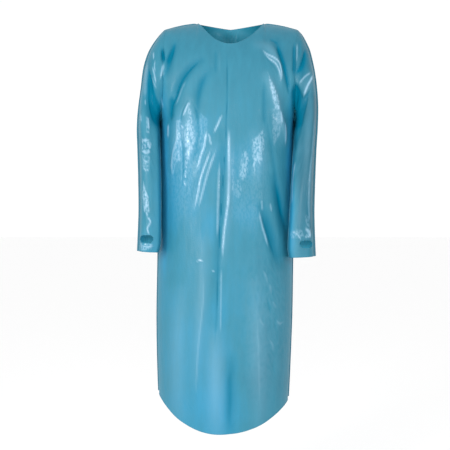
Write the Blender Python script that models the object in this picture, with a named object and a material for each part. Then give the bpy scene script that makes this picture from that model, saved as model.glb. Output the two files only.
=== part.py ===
"""A disposable film smock, hollow, in the shape it has when it is worn.

Metres, +Z up. The origin is the middle of the neck opening at the height of the shoulder
line, where the wearer's shoulders carry it. The front faces -Y, and +X is the wearer's left.
The smock is cut kimono fashion: a front and a back panel and, for each sleeve, a front and a
back panel. Every panel is one wall, and the panels stand a narrow gap apart at their welds.
"""

import math
from collections import namedtuple

import bmesh
import bpy
import numpy as np

# Driving sizes
WALL = 0.0015
SEAM_GAP = 0.0003
NECK_HALF_WIDTH = 0.096
NECK_FRONT_DEPTH = 0.088
NECK_FRONT_DROP = 0.075
NECK_BACK_DEPTH = 0.080
NECK_BACK_LIFT = 0.006
SHOULDER_ARCH = 0.003
SHOULDER_FULLNESS = {-1: 4, 1: 8}
SHOULDER_DEPTH_SHARE = 0.75
UNDERARM_Z = -0.285
FRONT_HEM_Z = -1.168
BACK_HEM_Z = -1.140
SIDE_HEM_Z = {-1: -1.073, 1: -1.090}
HEM_CURVE = 2.2
HEM_LOWEST_AT = -0.05
SIDE_SETTLE_SHARE = 0.25
SLEEVE_FULLNESS = 0.9
SLEEVE_STRETCH = {-1: 1.006, 1: 1.045}
Swing = namedtuple("Swing", "outer inner")
SLEEVE_SWING = {-1: Swing(-0.002, 0.004), 1: Swing(0.0035, -0.004)}
SLEEVE_SWING_OVER = 0.38
THUMB_SLOT_LENGTH = 0.038
THUMB_SLOT_HEIGHT = 0.022
THUMB_SLOT_ABOVE_CUFF = 0.034
THUMB_SLOT_TOWARDS_OUTER = {-1: 0.002, 1: 0.006}

# Mesh counts
ARM_ROWS = 12
SKIRT_ROWS = {-1: 27, 1: 21}
HALF_COLUMNS = {-1: 21, 1: 16}
NECK_COLUMNS = {-1: 10, 1: 8}
COLUMN_CROWDING = 1.15
SLEEVE_RINGS = 23
SLOT_ARC_STEPS = 6

# Sideways place of the garment's middle at each height
Lean = namedtuple("Lean", "z x")
LEAN = [
    Lean(0.010, 0.0160),
    Lean(-0.020, 0.0180),
    Lean(-0.065, 0.0147),
    Lean(-0.100, 0.0120),
    Lean(-0.200, 0.0112),
    Lean(-0.310, 0.0065),
    Lean(-0.450, 0.0044),
    Lean(-0.680, 0.0010),
    Lean(-0.950, -0.0030),
    Lean(-1.200, -0.0045),
]

# The body's half width at the side seam, and how far its middle stands out in front and behind
Girth = namedtuple("Girth", "z half_width front back")
GIRTHS = [
    Girth(0.010, 0.193, 0.088, 0.080),
    Girth(-0.075, 0.193, 0.089, 0.094),
    Girth(-0.140, 0.192, 0.104, 0.106),
    Girth(-0.210, 0.192, 0.116, 0.112),
    Girth(-0.285, 0.194, 0.123, 0.112),
    Girth(-0.400, 0.196, 0.126, 0.108),
    Girth(-0.520, 0.197, 0.129, 0.108),
    Girth(-0.620, 0.197, 0.133, 0.114),
    Girth(-0.700, 0.197, 0.137, 0.121),
    Girth(-0.850, 0.197, 0.143, 0.128),
    Girth(-1.000, 0.193, 0.147, 0.132),
    Girth(-1.180, 0.185, 0.150, 0.134),
]
SQUARENESS = 2.30

# Sleeve sections from armhole to cuff, measured out from the garment's middle. Each is a ring
# round the arm from its outer seam point to its inner one.
Section = namedtuple("Section", "outer_x outer_z inner_x inner_z mid_y front back cut_in")
SECTIONS = [
    Section(0.1935, -0.0195, 0.1935, UNDERARM_Z, 0.000, 0.080, 0.084, 0.006),
    Section(0.2105, -0.0385, 0.1944, -0.2890, 0.000, 0.085, 0.087, 0.002),
    Section(0.2265, -0.0645, 0.1950, -0.2930, -0.002, 0.086, 0.087, 0.000),
    Section(0.2380, -0.0920, 0.1950, -0.2980, -0.005, 0.084, 0.085, 0.000),
    Section(0.2488, -0.1370, 0.1950, -0.3040, -0.010, 0.078, 0.080, 0.000),
    Section(0.2550, -0.1950, 0.1945, -0.3140, -0.020, 0.072, 0.075, 0.000),
    Section(0.2590, -0.2540, 0.1937, -0.3310, -0.033, 0.067, 0.070, 0.000),
    Section(0.2588, -0.3120, 0.1935, -0.3600, -0.044, 0.063, 0.064, 0.000),
    Section(0.2550, -0.3720, 0.1914, -0.4020, -0.054, 0.059, 0.059, 0.000),
    Section(0.2503, -0.4590, 0.1878, -0.4720, -0.071, 0.054, 0.053, 0.000),
    Section(0.2477, -0.5450, 0.1848, -0.5500, -0.081, 0.048, 0.047, 0.000),
    Section(0.2493, -0.6280, 0.1825, -0.6320, -0.088, 0.042, 0.041, 0.000),
    Section(0.2503, -0.6600, 0.1870, -0.6640, -0.091, 0.041, 0.041, 0.000),
]

# Large folds as seen from the front, in real sizes: a curve through three points, half as wide
# as named, and lifted (or, below nought, sunk) by the height. Each lies on the named panel.
Fold = namedtuple("Fold", "panel x0 z0 x1 z1 x2 z2 half_width height")
FRONT, BACK, SLEEVE_FRONT, SLEEVE_BACK = "front", "back", "sleeve_front", "sleeve_back"
FOLDS = [
    # Drag lines between the neck and the right underarm
    Fold(FRONT, -0.068, -0.122, -0.119, -0.176, -0.160, -0.290, 0.012, -0.0065),
    Fold(FRONT, -0.041, -0.150, -0.070, -0.200, -0.075, -0.270, 0.013, -0.0040),
    Fold(FRONT, -0.141, -0.076, -0.158, -0.124, -0.172, -0.170, 0.011, -0.0060),
    Fold(FRONT, -0.100, -0.240, -0.107, -0.320, -0.098, -0.420, 0.019, 0.0070),
    Fold(FRONT, -0.134, -0.270, -0.140, -0.340, -0.142, -0.420, 0.013, 0.0045),
    Fold(FRONT, -0.020, -0.365, -0.062, -0.455, -0.088, -0.545, 0.013, 0.0055),
    # Drag lines between the neck and the left underarm
    Fold(FRONT, 0.092, -0.078, 0.142, -0.108, 0.160, -0.190, 0.012, 0.0060),
    Fold(FRONT, 0.146, -0.066, 0.158, -0.110, 0.172, -0.180, 0.011, -0.0060),
    Fold(FRONT, 0.118, -0.165, 0.146, -0.245, 0.168, -0.355, 0.014, 0.0075),
    Fold(FRONT, 0.085, -0.330, 0.098, -0.400, 0.086, -0.480, 0.018, 0.0045),
    Fold(FRONT, 0.138, -0.455, 0.160, -0.545, 0.176, -0.620, 0.013, -0.0060),
    Fold(FRONT, 0.104, -0.540, 0.128, -0.610, 0.152, -0.700, 0.013, -0.0075),
    # The soft roll beside the middle crease, and the long folds that fall to the hem
    Fold(FRONT, 0.013, -0.330, 0.008, -0.520, -0.008, -0.700, 0.012, 0.0055),
    Fold(FRONT, -0.006, -0.330, -0.012, -0.560, -0.028, -0.820, 0.011, -0.0040),
    Fold(FRONT, -0.055, -0.640, -0.068, -0.820, -0.084, -1.040, 0.018, 0.0045),
    Fold(FRONT, -0.022, -0.900, -0.024, -1.030, -0.022, -1.180, 0.024, 0.0075),
    Fold(FRONT, 0.018, -0.960, 0.017, -1.060, 0.015, -1.180, 0.014, -0.0060),
    Fold(FRONT, 0.085, -0.760, 0.092, -0.950, 0.098, -1.180, 0.024, 0.0055),
    Fold(FRONT, -0.130, -0.780, -0.134, -0.960, -0.130, -1.180, 0.022, 0.0050),
    # The back falls from the shoulder blades in long soft folds
    Fold(BACK, -0.024, -0.020, -0.026, -0.300, -0.036, -0.800, 0.018, -0.0065),
    Fold(BACK, 0.040, -0.020, 0.044, -0.300, 0.054, -0.760, 0.018, -0.0065),
    Fold(BACK, 0.008, -0.020, 0.006, -0.400, 0.006, -1.180, 0.020, 0.0075),
    Fold(BACK, -0.085, -0.180, -0.100, -0.560, -0.118, -1.180, 0.028, 0.0090),
    Fold(BACK, -0.060, -0.620, -0.068, -0.900, -0.070, -1.180, 0.022, -0.0080),
    Fold(BACK, 0.100, -0.200, 0.106, -0.580, 0.116, -1.180, 0.028, 0.0085),
    Fold(BACK, 0.058, -0.680, 0.064, -0.940, 0.062, -1.180, 0.022, -0.0080),
    Fold(BACK, -0.150, -0.110, -0.150, -0.200, -0.164, -0.300, 0.015, 0.0060),
    Fold(BACK, 0.152, -0.110, 0.154, -0.200, 0.170, -0.300, 0.015, 0.0060),
    # Folds where the sleeves hang from the shoulders, and at the elbows
    Fold(SLEEVE_FRONT, -0.219, -0.110, -0.222, -0.200, -0.206, -0.300, 0.013, -0.0080),
    Fold(SLEEVE_FRONT, -0.242, -0.110, -0.246, -0.200, -0.236, -0.300, 0.010, 0.0035),
    Fold(SLEEVE_FRONT, -0.250, -0.330, -0.232, -0.360, -0.212, -0.378, 0.013, -0.0035),
    Fold(SLEEVE_FRONT, 0.236, -0.075, 0.224, -0.130, 0.206, -0.180, 0.012, -0.0070),
    Fold(SLEEVE_FRONT, 0.250, -0.150, 0.238, -0.190, 0.222, -0.230, 0.011, 0.0040),
    Fold(SLEEVE_FRONT, 0.246, -0.240, 0.236, -0.420, 0.236, -0.560, 0.011, 0.0030),
    Fold(SLEEVE_BACK, -0.236, -0.120, -0.226, -0.200, -0.210, -0.290, 0.014, -0.0070),
    Fold(SLEEVE_BACK, -0.245, -0.330, -0.225, -0.370, -0.205, -0.390, 0.013, 0.0045),
    Fold(SLEEVE_BACK, 0.246, -0.120, 0.236, -0.200, 0.220, -0.290, 0.014, -0.0070),
    Fold(SLEEVE_BACK, 0.255, -0.340, 0.235, -0.380, 0.212, -0.400, 0.013, 0.0045),
]
FOLD_CURVE_POINTS = 17
FOLD_START_STRENGTH = 0.12
FOLD_END_STRENGTH = 0.92
EDGE_FADE = 0.030
STEEPEST_SEAM_TILT = 0.85
SHARP_ANGLE = math.radians(50)

FILM_COLOUR = (0.085, 0.335, 0.500, 1.0)
FILM_ROUGHNESS = 0.28


def smooth(table, key, column, at):
    """A column of a table at other keys, by a smooth curve through its rows."""
    keys = np.array([getattr(row, key) for row in table], float)
    values = np.array([getattr(row, column) for row in table], float)
    if keys[0] > keys[-1]:
        keys, values = keys[::-1], values[::-1]
    slopes = np.gradient(values, keys)
    at = np.clip(np.asarray(at, float), keys[0], keys[-1])
    i = np.clip(np.searchsorted(keys, at) - 1, 0, len(keys) - 2)
    step = keys[i + 1] - keys[i]
    t = (at - keys[i]) / step
    return (
        (2 * t**3 - 3 * t**2 + 1) * values[i]
        + (t**3 - 2 * t**2 + t) * step * slopes[i]
        + (3 * t**2 - 2 * t**3) * values[i + 1]
        + (t**3 - t**2) * step * slopes[i + 1]
    )


def ease(t):
    """Nought to one, with a level start and end."""
    t = np.clip(t, 0.0, 1.0)
    return t * t * (3 - 2 * t)


def lean(z):
    return smooth(LEAN, "z", "x", z)


def sleeve_values(along):
    """The sleeve table's columns at a place along it, from 0 at the armhole to 1 at the cuff."""
    places = np.arange(len(SECTIONS)) / (len(SECTIONS) - 1)
    rows = [namedtuple("Row", ("along",) + Section._fields)(p, *s) for p, s in zip(places, SECTIONS)]
    return {name: float(smooth(rows, "along", name, along)) for name in Section._fields}


def ring_point(section, angle, face, side):
    """A point on a sleeve ring: angle 0 is the outer seam and pi the inner one, by way of the face."""
    swing = math.cos(angle)
    bulge = math.sin(angle)
    reach_x = (section["outer_x"] - section["inner_x"]) / 2
    reach_z = (section["outer_z"] - section["inner_z"]) / 2
    x = (section["outer_x"] + section["inner_x"]) / 2 + reach_x * swing - section["cut_in"] * bulge**2
    z = (section["outer_z"] + section["inner_z"]) / 2 + reach_z * swing
    if z < UNDERARM_Z:
        z = UNDERARM_Z + (z - UNDERARM_Z) * SLEEVE_STRETCH[side]
        away = SLEEVE_SWING[side].outer * (1 + swing) / 2 + SLEEVE_SWING[side].inner * (1 - swing) / 2
        x += away * ((UNDERARM_Z - z) / SLEEVE_SWING_OVER) ** 2
    depth = section["front"] if face < 0 else section["back"]
    y = section["mid_y"] + face * depth * bulge**SLEEVE_FULLNESS
    return np.array([side * x + float(lean(z)), y, z])


def top_edge(u, face):
    """The neckline and, beyond the neck point, the shoulder seam, for a column at u from 0 to 1."""
    neck_share = NECK_COLUMNS[face] / HALF_COLUMNS[face]
    if u <= neck_share:
        angle = u / neck_share * math.pi / 2
        x = NECK_HALF_WIDTH * math.sin(angle)
        if face < 0:
            y = -NECK_FRONT_DEPTH * math.cos(angle)
            z = -NECK_FRONT_DROP * math.cos(angle) ** 2
        else:
            y = NECK_BACK_DEPTH * math.cos(angle)
            z = NECK_BACK_LIFT * math.sin(2 * angle)
        return np.array([x, y, z])
    t = (u - neck_share) / (1 - neck_share)
    tip = SECTIONS[0]
    x = NECK_HALF_WIDTH + (tip.outer_x - NECK_HALF_WIDTH) * t
    z = tip.outer_z * t + SHOULDER_ARCH * math.sin(math.pi * t)
    return np.array([x, 0.0, z])


def upper_point(u, share, face, side):
    """A point between the centre line and the armhole; share runs from the shoulder to the underarm."""
    edge = ring_point(sleeve_values(0.0), share * math.pi, face, side)
    edge[0] = side * (edge[0] - float(lean(edge[2])))
    top_z = -NECK_FRONT_DROP if face < 0 else 0.0
    centre_z = top_z + (UNDERARM_Z - top_z) * share
    depth = float(smooth(GIRTHS, "z", "front" if face < 0 else "back", centre_z))
    rounding = 1 - abs(edge[1]) / depth
    power = 2 / SQUARENESS
    turn = u**COLUMN_CROWDING * math.pi / 2
    across = (1 - rounding) * u + rounding * math.sin(turn) ** power
    inward = max(math.cos(turn), 0.0) ** power
    point = np.array([
        edge[0] * across,
        edge[1] + (face * depth - edge[1]) * inward,
        edge[2] + (centre_z - edge[2]) * inward,
    ])
    return point, edge


def hem_height(place, face):
    """The hem's height at a place from -1 to 1 across a panel, lowest a little off the middle."""
    side = -1 if place < HEM_LOWEST_AT else 1
    lowest_z = FRONT_HEM_Z if face < 0 else BACK_HEM_Z
    from_lowest = abs(place - HEM_LOWEST_AT) / (1 - side * HEM_LOWEST_AT)
    return lowest_z + (SIDE_HEM_Z[side] - lowest_z) * from_lowest**HEM_CURVE


def body_point(u, row, face):
    """A point of the front (face -1) or back (face 1) panel, at column u from -1 to 1."""
    side = -1 if u < 0 else 1
    u = abs(u)
    if row < ARM_ROWS:
        point, _ = upper_point(u, row / ARM_ROWS, face, side)
        first, _ = upper_point(u, 0.0, face, side)
        rise = top_edge(u, face) - first
        fade = min(row / ARM_ROWS / SHOULDER_DEPTH_SHARE, 1.0)
        sideways = (1 - fade) ** SHOULDER_FULLNESS[face]
        point = point + rise * np.array([sideways, sideways, 1 - ease(fade)])
        return np.array([side * point[0] + float(lean(point[2])), point[1], point[2]])
    share = (row - ARM_ROWS) / SKIRT_ROWS[face]
    turn = u**COLUMN_CROWDING * math.pi / 2
    power = 2 / SQUARENESS
    across = math.sin(turn) ** power
    inward = max(math.cos(turn), 0.0) ** power
    hem_z = hem_height(side * across, face)
    z = UNDERARM_Z + (hem_z - UNDERARM_Z) * share
    half_width = float(smooth(GIRTHS, "z", "half_width", z))
    depth = float(smooth(GIRTHS, "z", "front" if face < 0 else "back", z))
    settle = ease(share / SIDE_SETTLE_SHARE)
    half_width = half_width * settle + SECTIONS[0].inner_x * (1 - settle)
    return np.array([side * half_width * across + float(lean(z)), face * depth * inward, z])


def grid_normals(points, outward):
    """Unit normals of a grid of points, turned to the side that outward names."""
    along_rows = np.gradient(points, axis=0)
    along_columns = np.gradient(points, axis=1)
    normals = np.cross(along_rows, along_columns)
    normals /= np.linalg.norm(normals, axis=2, keepdims=True)
    return normals * outward


def fold_height(points, panel, weight):
    """How far the folds of a panel lift each point off its plain form."""
    flat = points[..., (0, 2)]
    height = np.zeros(flat.shape[:2])
    t = np.linspace(0, 1, FOLD_CURVE_POINTS)[:, None]
    for fold in FOLDS:
        if fold.panel != panel:
            continue
        start = np.array([fold.x0, fold.z0])
        middle = np.array([fold.x1, fold.z1])
        end = np.array([fold.x2, fold.z2])
        handle = 2 * middle - (start + end) / 2
        curve = (1 - t) ** 2 * start + 2 * t * (1 - t) * handle + t**2 * end
        away = np.linalg.norm(flat[:, :, None, :] - curve, axis=3)
        nearest = away.argmin(axis=2)
        distance = away.min(axis=2)
        reach = FOLD_START_STRENGTH + (FOLD_END_STRENGTH - FOLD_START_STRENGTH) * t[nearest, 0]
        taper = np.sin(np.pi * reach)
        height += fold.height * taper * np.exp(-((distance / fold.half_width) ** 2))
    return height * weight


def flatten_normals(normals, axis, where):
    """At a seam, takes the part of the normals that points across it, so that walls meet squarely."""
    tilt = np.abs(normals[..., axis])
    keep = where & (tilt < STEEPEST_SEAM_TILT)
    normals[..., axis] = np.where(keep, 0.0, normals[..., axis])
    normals /= np.linalg.norm(normals, axis=2, keepdims=True)


def wall_mesh(name, outer, normals, flip):
    """A closed wall: the outer points, the same points moved in by its thickness, and a rim."""
    rows, columns = outer.shape[:2]
    inner = outer - WALL * normals
    mesh = bpy.data.meshes.new(name)
    bm = bmesh.new()
    skins = [[[bm.verts.new(p) for p in row] for row in skin] for skin in (outer, inner)]

    def quad(a, b, c, d):
        bm.faces.new((d, c, b, a) if flip else (a, b, c, d))

    for r in range(rows - 1):
        for c in range(columns - 1):
            o, i = skins
            quad(o[r][c], o[r + 1][c], o[r + 1][c + 1], o[r][c + 1])
            quad(i[r][c + 1], i[r + 1][c + 1], i[r + 1][c], i[r][c])
    edge = [(0, c) for c in range(columns)]
    edge += [(r, columns - 1) for r in range(1, rows)]
    edge += [(rows - 1, c) for c in range(columns - 2, -1, -1)]
    edge += [(r, 0) for r in range(rows - 2, 0, -1)]
    for (r0, c0), (r1, c1) in zip(edge, edge[1:] + edge[:1]):
        quad(skins[0][r0][c0], skins[0][r1][c1], skins[1][r1][c1], skins[1][r0][c0])
    bm.to_mesh(mesh)
    bm.free()
    mesh.shade_smooth()
    mesh.set_sharp_from_angle(angle=SHARP_ANGLE)
    return mesh


def film_material(name):
    material = bpy.data.materials.new(name)
    material.use_nodes = True
    shader = material.node_tree.nodes["Principled BSDF"]
    shader.inputs["Base Color"].default_value = FILM_COLOUR
    shader.inputs["Roughness"].default_value = FILM_ROUGHNESS
    shader.inputs["Metallic"].default_value = 0.0
    return material


def add_object(name, mesh):
    mesh.materials.append(film_material(name + "_film"))
    obj = bpy.data.objects.new(name, mesh)
    bpy.context.scene.collection.objects.link(obj)
    return obj


def body_panel(name, panel, face):
    """The front or back panel, from neckline and shoulder seams to hem."""
    half = HALF_COLUMNS[face]
    columns = np.arange(-half, half + 1) / half
    rows = np.arange(ARM_ROWS + SKIRT_ROWS[face] + 1)
    points = np.array([[body_point(u, row, face) for u in columns] for row in rows])
    normals = grid_normals(points, -face)
    arm = rows < ARM_ROWS
    inset = np.minimum(1 - np.abs(columns), 1.0)[None, :] * SECTIONS[0].outer_x
    below = np.linalg.norm(points - points[0], axis=2)
    weight = ease(inset / EDGE_FADE) * ease(below / EDGE_FADE)
    points = points + normals * fold_height(points, panel, weight)[..., None]
    normals = grid_normals(points, -face)

    on_side = np.zeros(points.shape[:2], bool)
    on_side[:, (0, -1)] = True
    at_armhole = on_side & arm[:, None]
    at_shoulder = np.zeros_like(on_side)
    at_shoulder[0, np.abs(columns) >= NECK_COLUMNS[face] / half] = True
    at_side_seam = on_side & ~arm[:, None]
    flatten_normals(normals, 1, at_shoulder | at_side_seam)
    flatten_normals(normals, 0, at_armhole)
    points[..., 1] += np.where(at_shoulder | at_side_seam, face * SEAM_GAP / 2, 0.0)
    outwards = np.sign(columns)[None, :] * np.ones(len(rows))[:, None]
    at_underarm = np.zeros_like(on_side)
    at_underarm[ARM_ROWS, (0, -1)] = True
    points[..., 0] -= np.where(at_armhole | at_underarm, outwards * SEAM_GAP / 2, 0.0)
    return add_object(name, wall_mesh(name, points, normals, flip=face > 0))


def sleeve_panel(name, panel, face, side):
    """The front or back half of a sleeve, from the armhole to the cuff."""
    angles = np.arange(ARM_ROWS + 1) / ARM_ROWS * math.pi
    rings = [sleeve_values(along) for along in np.arange(SLEEVE_RINGS + 1) / SLEEVE_RINGS]
    points = np.array([[ring_point(ring, angle, face, side) for angle in angles] for ring in rings])
    outward = face * side
    normals = grid_normals(points, outward)
    from_armhole = np.linalg.norm(points - points[0], axis=2)
    weight = ease(from_armhole / EDGE_FADE) * np.sin(angles)[None, :] ** 0.5
    points = points + normals * fold_height(points, panel, weight)[..., None]
    normals = grid_normals(points, outward)

    at_seam = np.zeros(points.shape[:2], bool)
    at_seam[:, (0, -1)] = True
    at_armhole = np.zeros_like(at_seam)
    at_armhole[0] = True
    flatten_normals(normals, 1, at_seam)
    flatten_normals(normals, 0, at_armhole)
    points[..., 1] += np.where(at_seam, face * SEAM_GAP / 2, 0.0)
    points[..., 0] += np.where(at_armhole, side * SEAM_GAP / 2, 0.0)
    return add_object(name, wall_mesh(name, points, normals, flip=outward < 0))


def slot_cutter(name, side):
    """A bar with round ends that cuts the thumb slot through the front wall of a cuff."""
    cuff = sleeve_values(1.0)
    middle_x = (cuff["outer_x"] + cuff["inner_x"]) / 2 + THUMB_SLOT_TOWARDS_OUTER[side]
    cuff_z = UNDERARM_Z + (cuff["outer_z"] - UNDERARM_Z) * SLEEVE_STRETCH[side]
    middle_z = cuff_z + THUMB_SLOT_ABOVE_CUFF
    middle = np.array([side * middle_x + float(lean(middle_z)), middle_z])
    radius = THUMB_SLOT_HEIGHT / 2
    straight = THUMB_SLOT_LENGTH / 2 - radius
    outline = []
    for shift, start in ((straight, -math.pi / 2), (-straight, math.pi / 2)):
        for step in range(SLOT_ARC_STEPS + 1):
            angle = start + math.pi * step / SLOT_ARC_STEPS
            outline.append(middle + (shift + radius * math.cos(angle), radius * math.sin(angle)))
    bm = bmesh.new()
    front = [bm.verts.new((x, cuff["mid_y"] - 2 * cuff["front"], z)) for x, z in outline]
    cap = bm.faces.new(front)
    pushed = bmesh.ops.extrude_face_region(bm, geom=[cap])
    moved = [v for v in pushed["geom"] if isinstance(v, bmesh.types.BMVert)]
    bmesh.ops.translate(bm, verts=moved, vec=(0, 2 * cuff["front"], 0))
    bmesh.ops.recalc_face_normals(bm, faces=bm.faces)
    mesh = bpy.data.meshes.new(name)
    bm.to_mesh(mesh)
    bm.free()
    cutter = bpy.data.objects.new(name, mesh)
    bpy.context.scene.collection.objects.link(cutter)
    cutter.hide_render = True
    cutter.display_type = "WIRE"
    return cutter


def cut_thumb_slot(sleeve, side, name):
    cut = sleeve.modifiers.new("thumb_slot", "BOOLEAN")
    cut.operation = "DIFFERENCE"
    cut.solver = "EXACT"
    cut.object = slot_cutter(name, side)


def main():
    for obj in list(bpy.data.objects):
        bpy.data.objects.remove(obj, do_unlink=True)
    body_panel("front_panel", FRONT, -1)
    body_panel("back_panel", BACK, 1)
    for side, word in ((-1, "right"), (1, "left")):
        front = sleeve_panel("sleeve_front_" + word, SLEEVE_FRONT, -1, side)
        sleeve_panel("sleeve_back_" + word, SLEEVE_BACK, 1, side)
        cut_thumb_slot(front, side, "thumb_slot_cutter_" + word)


main()
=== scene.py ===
"""Looks of a disposable film smock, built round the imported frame.

Metres, +Z up. The origin is the middle of the neck opening at the height of the shoulder
line. The front faces -Y, and +X is the wearer's left. Each panel of the frame is replaced by
a thin shell of film on the same form, with its folds, creases and crinkles. Flat welds stand
out along the seams, with crimp marks on them, and a bead runs round each cut edge.
"""

from __future__ import annotations

import logging
import math
from dataclasses import dataclass
from enum import Enum
from typing import NamedTuple, Sequence

import bmesh
import bpy
import numpy as np
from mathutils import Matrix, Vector
from mathutils.bvhtree import BVHTree

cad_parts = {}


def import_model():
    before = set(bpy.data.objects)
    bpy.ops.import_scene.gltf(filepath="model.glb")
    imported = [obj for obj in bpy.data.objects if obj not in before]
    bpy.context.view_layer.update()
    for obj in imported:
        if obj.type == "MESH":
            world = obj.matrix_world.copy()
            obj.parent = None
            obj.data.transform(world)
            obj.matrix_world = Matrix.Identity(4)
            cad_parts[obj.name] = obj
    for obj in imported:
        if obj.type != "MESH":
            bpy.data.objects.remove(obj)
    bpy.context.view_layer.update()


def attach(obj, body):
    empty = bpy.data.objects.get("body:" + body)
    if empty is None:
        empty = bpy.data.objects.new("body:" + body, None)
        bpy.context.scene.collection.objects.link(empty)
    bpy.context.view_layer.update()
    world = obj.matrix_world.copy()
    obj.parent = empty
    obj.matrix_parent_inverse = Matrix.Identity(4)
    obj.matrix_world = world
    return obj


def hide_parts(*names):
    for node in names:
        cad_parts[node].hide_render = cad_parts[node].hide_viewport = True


LOG = logging.getLogger("smock")
MILLIMETRE = 0.001
TINY = 1e-9
BODY = "root"
SHARP_TIP = 0.3
STEP_REACH = 3.0

Array = np.ndarray
Colour = tuple[float, float, float, float]
Material = bpy.types.Material
Object = bpy.types.Object
Socket = bpy.types.NodeSocket


class Side(Enum):
    """The wearer's side of the smock, valued by the sign of its X."""

    RIGHT = -1
    LEFT = 1


class Face(Enum):
    """The front or the back of the smock, valued by the sign of its Y."""

    FRONT = -1
    BACK = 1


class Cloth(Enum):
    """The kinds of panel that a fold or crease can lie on."""

    FRONT = "front"
    BACK = "back"
    SLEEVE_FRONT = "sleeve_front"
    SLEEVE_BACK = "sleeve_back"


class Profile(Enum):
    """How a crease rises across its width."""

    ROUND = "round"
    SHARP = "sharp"
    TENT = "tent"
    STEP = "step"

    def rise(self, across: Array) -> Array:
        """How far the crease stands up across its width.

        Args:
            across: Half widths from the crease's middle, with a sign for a step.

        Returns:
            Shares of the crease's height.
        """
        if self is Profile.ROUND:
            return np.exp(-(across**2))
        if self is Profile.SHARP:
            return np.exp(SHARP_TIP - np.sqrt(across**2 + SHARP_TIP**2))
        if self is Profile.TENT:
            return np.maximum(1 - across, 0.0)
        return np.tanh(across) * np.exp(-((across / STEP_REACH) ** 2))


class Lean(NamedTuple):
    """Sideways place of the garment's middle at a height."""

    z: float
    x: float


class Girth(NamedTuple):
    """The body's half width at the side seam and its depth in front and behind."""

    z: float
    half_width: float
    front: float
    back: float


class Section(NamedTuple):
    """A ring round a sleeve, from its outer seam point to its inner one."""

    outer_x: float
    outer_z: float
    inner_x: float
    inner_z: float
    mid_y: float
    front: float
    back: float
    cut_in: float


class Swing(NamedTuple):
    """How far the outer and inner seams of a lower sleeve stand off their table."""

    outer: float
    inner: float


class Fold(NamedTuple):
    """A large fold through three points as seen from the front, in metres."""

    x0: float
    z0: float
    x1: float
    z1: float
    x2: float
    z2: float
    half_width: float
    height: float


class Crease(NamedTuple):
    """A crease along points as seen from the front, in millimetres; fade is a share of its length."""

    profile: Profile
    half_width: float
    height: float
    path: tuple[tuple[float, float], ...]
    fade: float = 0.25
    gloss: float = 0.0


class Crinkle(NamedTuple):
    """A patch of small crinkles, in millimetres, stretched along its own direction."""

    cloth: Cloth
    x: float
    z: float
    reach_x: float
    reach_z: float
    turn: float
    wavelength: float
    stretch: float
    height: float


class Patch(NamedTuple):
    """An outlined patch, in millimetres, where the film is pressed flat or sunk in, with painted sheen,
    light and shade.
    """

    outline: tuple[tuple[float, float], ...]
    gloss: float = 0.0
    tone: float = 0.0
    height: float = 0.0
    edge: float = 4.0


class PaintedLight(NamedTuple):
    """A soft patch, in millimetres, of painted light and shade."""

    x: float
    z: float
    reach_x: float
    reach_z: float
    shade: float


class Cut(NamedTuple):
    """The flat size of a panel as it is cut from the roll."""

    width: float
    length: float
    area: float


ROUND, SHARP, TENT, STEP = Profile

# The smooth form from the neck down, and round a sleeve from the armhole to the cuff
LEAN = (
    Lean(0.010, 0.0160),
    Lean(-0.020, 0.0180),
    Lean(-0.065, 0.0147),
    Lean(-0.100, 0.0120),
    Lean(-0.200, 0.0112),
    Lean(-0.310, 0.0065),
    Lean(-0.450, 0.0044),
    Lean(-0.680, 0.0010),
    Lean(-0.950, -0.0030),
    Lean(-1.200, -0.0045),
)

GIRTHS = (
    Girth(0.010, 0.193, 0.088, 0.080),
    Girth(-0.075, 0.193, 0.089, 0.094),
    Girth(-0.140, 0.192, 0.104, 0.106),
    Girth(-0.210, 0.192, 0.116, 0.112),
    Girth(-0.285, 0.194, 0.123, 0.112),
    Girth(-0.400, 0.196, 0.126, 0.108),
    Girth(-0.520, 0.197, 0.129, 0.108),
    Girth(-0.620, 0.197, 0.133, 0.114),
    Girth(-0.700, 0.197, 0.137, 0.121),
    Girth(-0.850, 0.197, 0.143, 0.128),
    Girth(-1.000, 0.193, 0.147, 0.132),
    Girth(-1.180, 0.185, 0.150, 0.134),
)

UNDERARM_Z = -0.285
SECTIONS = (
    Section(0.1935, -0.0195, 0.1935, UNDERARM_Z, 0.000, 0.080, 0.084, 0.006),
    Section(0.2105, -0.0385, 0.1944, -0.2890, 0.000, 0.085, 0.087, 0.002),
    Section(0.2265, -0.0645, 0.1950, -0.2930, -0.002, 0.086, 0.087, 0.000),
    Section(0.2380, -0.0920, 0.1950, -0.2980, -0.005, 0.084, 0.085, 0.000),
    Section(0.2488, -0.1370, 0.1950, -0.3040, -0.010, 0.078, 0.080, 0.000),
    Section(0.2550, -0.1950, 0.1945, -0.3140, -0.020, 0.072, 0.075, 0.000),
    Section(0.2590, -0.2540, 0.1937, -0.3310, -0.033, 0.067, 0.070, 0.000),
    Section(0.2588, -0.3120, 0.1935, -0.3600, -0.044, 0.063, 0.064, 0.000),
    Section(0.2550, -0.3720, 0.1914, -0.4020, -0.054, 0.059, 0.059, 0.000),
    Section(0.2503, -0.4590, 0.1878, -0.4720, -0.071, 0.054, 0.053, 0.000),
    Section(0.2477, -0.5450, 0.1848, -0.5500, -0.081, 0.048, 0.047, 0.000),
    Section(0.2493, -0.6280, 0.1825, -0.6320, -0.088, 0.042, 0.041, 0.000),
    Section(0.2503, -0.6600, 0.1870, -0.6640, -0.091, 0.041, 0.041, 0.000),
)

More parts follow.
